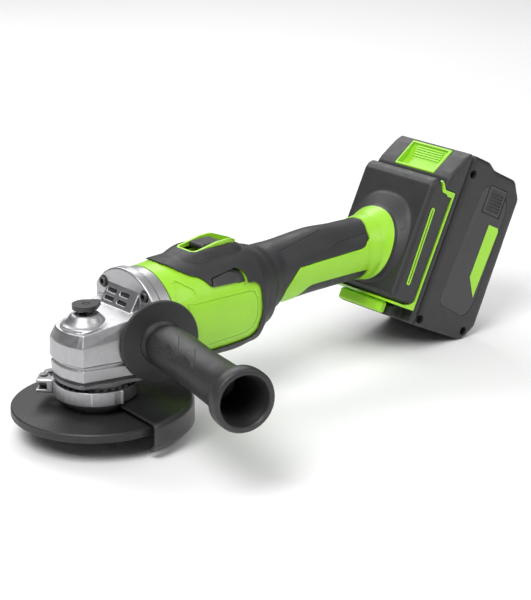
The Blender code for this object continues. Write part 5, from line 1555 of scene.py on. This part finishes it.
LIME = moulded("lime_plastic", (0.335, 0.70, 0.030), 0.38, 0.5, 0.05, edge_lift=0.10, tone=0.03, coat=0.10)
DARK = moulded("dark_plastic", (0.026, 0.026, 0.028), 0.47, 0.35, 0.25, edge_lift=0.6)
SOFT = moulded("soft_overmould", (0.023, 0.023, 0.025), 0.52, 0.40, 0.30, edge_lift=0.5)
RUBBER = moulded("grip_rubber", (0.016, 0.016, 0.017), 0.46, 0.45, 0.30, edge_lift=0.8)
BLACK = moulded("black_plastic", (0.008, 0.008, 0.009), 0.38, 0.4, 0.12, edge_lift=0.8)
LABEL = moulded("label_panel", (0.034, 0.034, 0.036), 0.42, 0.3, 0.06, edge_lift=0.2)
ALUMINIUM = cast_metal("cast_aluminium", (0.47, 0.47, 0.48), 0.40, 0.55, 0.16)
# painted shade: a darker copy of the cast aluminium for the bearing cover, which lies in shadow under the
# head
ALUMINIUM_PAINTED_SHADE = cast_metal("aluminium_painted_shade", (0.16, 0.16, 0.165), 0.42, 0.55, 0.2)
COATED = moulded("coated_steel", (0.013, 0.013, 0.014), 0.34, 0.6, 0.08, edge_lift=1.2, coat=0.12)
LEVER = cast_metal("satin_steel", (0.40, 0.40, 0.41), 0.33, 0.9, 0.05, edge_lift=0.5)
STEEL = machined("bright_steel", (0.50, 0.50, 0.51), 0.24)
ABRASIVE = abrasive_look("bonded_abrasive")
COPPER = machined("wound_copper", (0.62, 0.30, 0.15), 0.32, (1, 10, 1))
BOARD = moulded("circuit_board", (0.02, 0.13, 0.06), 0.4, 0.6, 0.15)
CELLS = moulded("cell_wrap", (0.05, 0.16, 0.26), 0.35, 0.8, 0.05, coat=0.3)

BY_SLOT = {
    "lime": LIME,
    "soft_grip": SOFT,
    "dark_shell": DARK,
    "cast_aluminium": ALUMINIUM,
    "black_steel": COATED,
    "bright_steel": STEEL,
    "abrasive": ABRASIVE,
    "copper": COPPER,
    "board": BOARD,
    "cell_steel": CELLS,
}


def dress_kept_nodes():
    """Gives every CAD node its material; the ones that a shown piece replaces stay hidden."""
    for node, obj in frame["nodes"].items():
        look = COATED if node == "clamp_band" else BY_SLOT[slot_of(node)]
        obj.data.materials.clear()
        obj.data.materials.append(look)
        obj.data.shade_smooth()
        obj.data.set_sharp_from_angle(angle=radians(32))


# ---------------------------------------------------------------- the shown pieces


def add_detail(piece, name, body, look):
    """A shown piece that stands for no CAD node, such as a label or a screw."""
    piece.name = name
    piece.data.shade_smooth()
    piece.data.set_sharp_from_angle(angle=radians(35))
    piece.data.materials.clear()
    piece.data.materials.append(look)
    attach(piece, body)


def make_wheel_end():
    make_wheel()
    dress("grinding_wheel", ABRASIVE)
    make_inner_flange()
    dress("inner_flange", COATED)
    make_clamp_nut()
    dress("clamp_nut", COATED)
    make_guard()
    dress("guard", COATED)
    make_clamp_lever()
    dress("clamp_lever", LEVER, 0.3, 2)


def make_head():
    make_gear_housing()
    dress("gear_housing", ALUMINIUM, 0.45, 3)
    make_bearing_cover()
    # the bearing cover takes the darker aluminium copy, which is painted shade
    dress("bearing_cover", ALUMINIUM_PAINTED_SHADE)
    make_lock_button()
    dress("spindle_lock_button", BLACK)
    grille = box("grille", (-15, 1.2, -2.6), (9.6, 12.4, -2.0), outlet_face())
    add_detail(grille, "outlet_grille", "tool_body", BLACK)


def make_motor_section():
    make_motor_housing()
    dress("motor_housing", LIME)
    make_side_covers()
    dress("air_inlet_cover_right", DARK)
    dress("air_inlet_cover_left", DARK)
    make_overmould()
    dress("motor_overmould", SOFT, 0.5, 5)
    make_switch()
    dress("switch_frame", LIME)
    dress("switch_slider", DARK, 0.3, 3)


def make_handle():
    make_handle_shells()
    dress("handle_shell_left", DARK)
    dress("handle_shell_right", DARK)
    make_stripes()
    dress("handle_stripe_right", LIME)
    dress("handle_stripe_left", LIME)
    make_handle_collar()
    dress("handle_collar", LIME)
    make_foot_pieces()
    dress("foot_seal", LIME)
    dress("foot_end_block", LIME)


def make_battery():
    make_battery_base()
    dress("battery_base", DARK)
    make_latch()
    dress("battery_latch", LIME)
    make_battery_cover()
    dress("battery_cover", DARK)
    make_gauge_button()
    dress("charge_gauge_button", DARK)
    # a black band in the joint between the battery's two shells: painted shadow that stands in for the
    # shadow gap there
    low = (BASE_DEEP - 0.6, 2.0, -BATTERY_HALF + 2.2)
    high = (BASE_DEEP + 2.8, BATTERY_LONG - 2.0, BATTERY_HALF - 2.2)
    band = cut(box("band", low, high, BATTERY), box("room", (-5, 8, -30), (20, 120, 30), BATTERY))
    add_detail(band, "case_joint_painted_shadow", "battery_group", BLACK)
    for name, side in (("right", 1), ("left", -1)):
        add_detail(make_label(side), "label_panel_" + name, "battery_group", LABEL)
        add_detail(make_badge(side), "label_badge_" + name, "battery_group", LIME)
        for number, (u, v) in enumerate(BATTERY_SCREWS, 1):
            screw = make_case_screw(u, v, side)
            add_detail(screw, "case_screw_%s_%d" % (name, number), "battery_group", COATED)


BATTERY_SCREWS = ((11.0, 118.0), (9.8, 5.5), (59.5, 8.2))


def make_case_screw(u, v, side):
    """A pan-head screw with a six-lobed drive, sunk in the battery's side."""
    place = BATTERY @ Vector((u, v, side * BATTERY_HALF))
    across = (0, -side, 0)
    head = rod("screw", 2.7, -6.5, -4.0, place, across, 36, 0.5)
    for turn in range(3):
        angle = pi * turn / 3
        turned_place = axes(place, (cos(angle), 0, sin(angle)), (sin(angle), 0, -cos(angle)))
        drive = box("drive", (-1.5, -0.3, -4.9), (1.5, 0.3, -3), turned_place)
        head = cut(head, drive)
    return head


def make_grip():
    make_side_handle()
    dress("side_handle", RUBBER)


# ---------------------------------------------------------------- stage


def make_camera():
    """The photograph's view: heading 41.2 degrees from +Y towards +X, looking down 19.2 degrees."""
    heading = radians(41.22)
    down = radians(19.19)
    right = Vector((cos(heading), -sin(heading), 0))
    up = Vector((sin(heading) * sin(down), cos(heading) * sin(down), cos(down)))
    matrix = Matrix((right, up, right.cross(up))).transposed().to_4x4()
    matrix.translation = Vector((-0.7587, -1.0351, 0.5304))
    data = bpy.data.cameras.new("camera")
    data.lens = 124.58
    data.sensor_width = 36.0
    camera = bpy.data.objects.new("camera", data)
    bpy.context.scene.collection.objects.link(camera)
    camera.matrix_world = matrix
    bpy.context.scene.camera = camera


def make_light(name, place, target, size, power):
    """A soft rectangular light that points at target."""
    data = bpy.data.lights.new(name, "AREA")
    data.shape = "RECTANGLE"
    data.size = size[0]
    data.size_y = size[1]
    data.energy = power
    light = bpy.data.objects.new(name, data)
    bpy.context.scene.collection.objects.link(light)
    light.location = place
    light.rotation_euler = (Vector(target) - Vector(place)).to_track_quat("-Z", "Y").to_euler()


def make_stage():
    """The pale floor, the soft sky and three soft lights."""
    floor_mesh = bpy.data.meshes.new("floor")
    bm = bmesh.new()
    bmesh.ops.create_grid(bm, x_segments=1, y_segments=1, size=6.0)
    bm.to_mesh(floor_mesh)
    bm.free()
    floor = link("floor", floor_mesh)
    floor.location = (0.1, 0.0, cad_box[0].z - 0.0003)
    made, tree, shader = tree_of("pale_floor")
    tone = ramp(tree, noise(tree, 300.0, 2.0), 0.90, 0.92)
    tree.links.new(tone, shader.inputs["Base Color"])
    shader.inputs["Roughness"].default_value = 0.75
    floor_mesh.materials.append(made)

    world = bpy.data.worlds.new("studio")
    bpy.context.scene.world = world
    world.use_nodes = True
    nodes = world.node_tree.nodes
    links = world.node_tree.links
    place = nodes.new("ShaderNodeTexCoord")
    split = nodes.new("ShaderNodeSeparateXYZ")
    shade = nodes.new("ShaderNodeValToRGB")
    shade.color_ramp.elements[0].position = 0.42
    shade.color_ramp.elements[0].color = (0.16, 0.16, 0.165, 1)
    shade.color_ramp.elements[1].position = 0.95
    shade.color_ramp.elements[1].color = (0.95, 0.95, 0.95, 1)
    links.new(place.outputs["Generated"], split.inputs["Vector"])
    links.new(split.outputs["Z"], shade.inputs["Fac"])
    links.new(shade.outputs["Color"], nodes["Background"].inputs["Color"])
    nodes["Background"].inputs["Strength"].default_value = 0.75

    middle = (0.12, 0.0, 0.06)
    make_light("key", (-0.9, -0.4, 1.5), middle, (1.0, 1.0), 24.0)
    make_light("fill", (0.7, -1.4, 1.1), middle, (0.7, 1.0), 8.0)
    make_light("back", (0.5, 1.2, 1.2), middle, (1.6, 0.5), 14.0)
    bpy.context.scene.view_settings.view_transform = "Standard"


dress_kept_nodes()
make_wheel_end()
make_head()
make_motor_section()
make_handle()
make_battery()
make_grip()
make_camera()
make_stage()
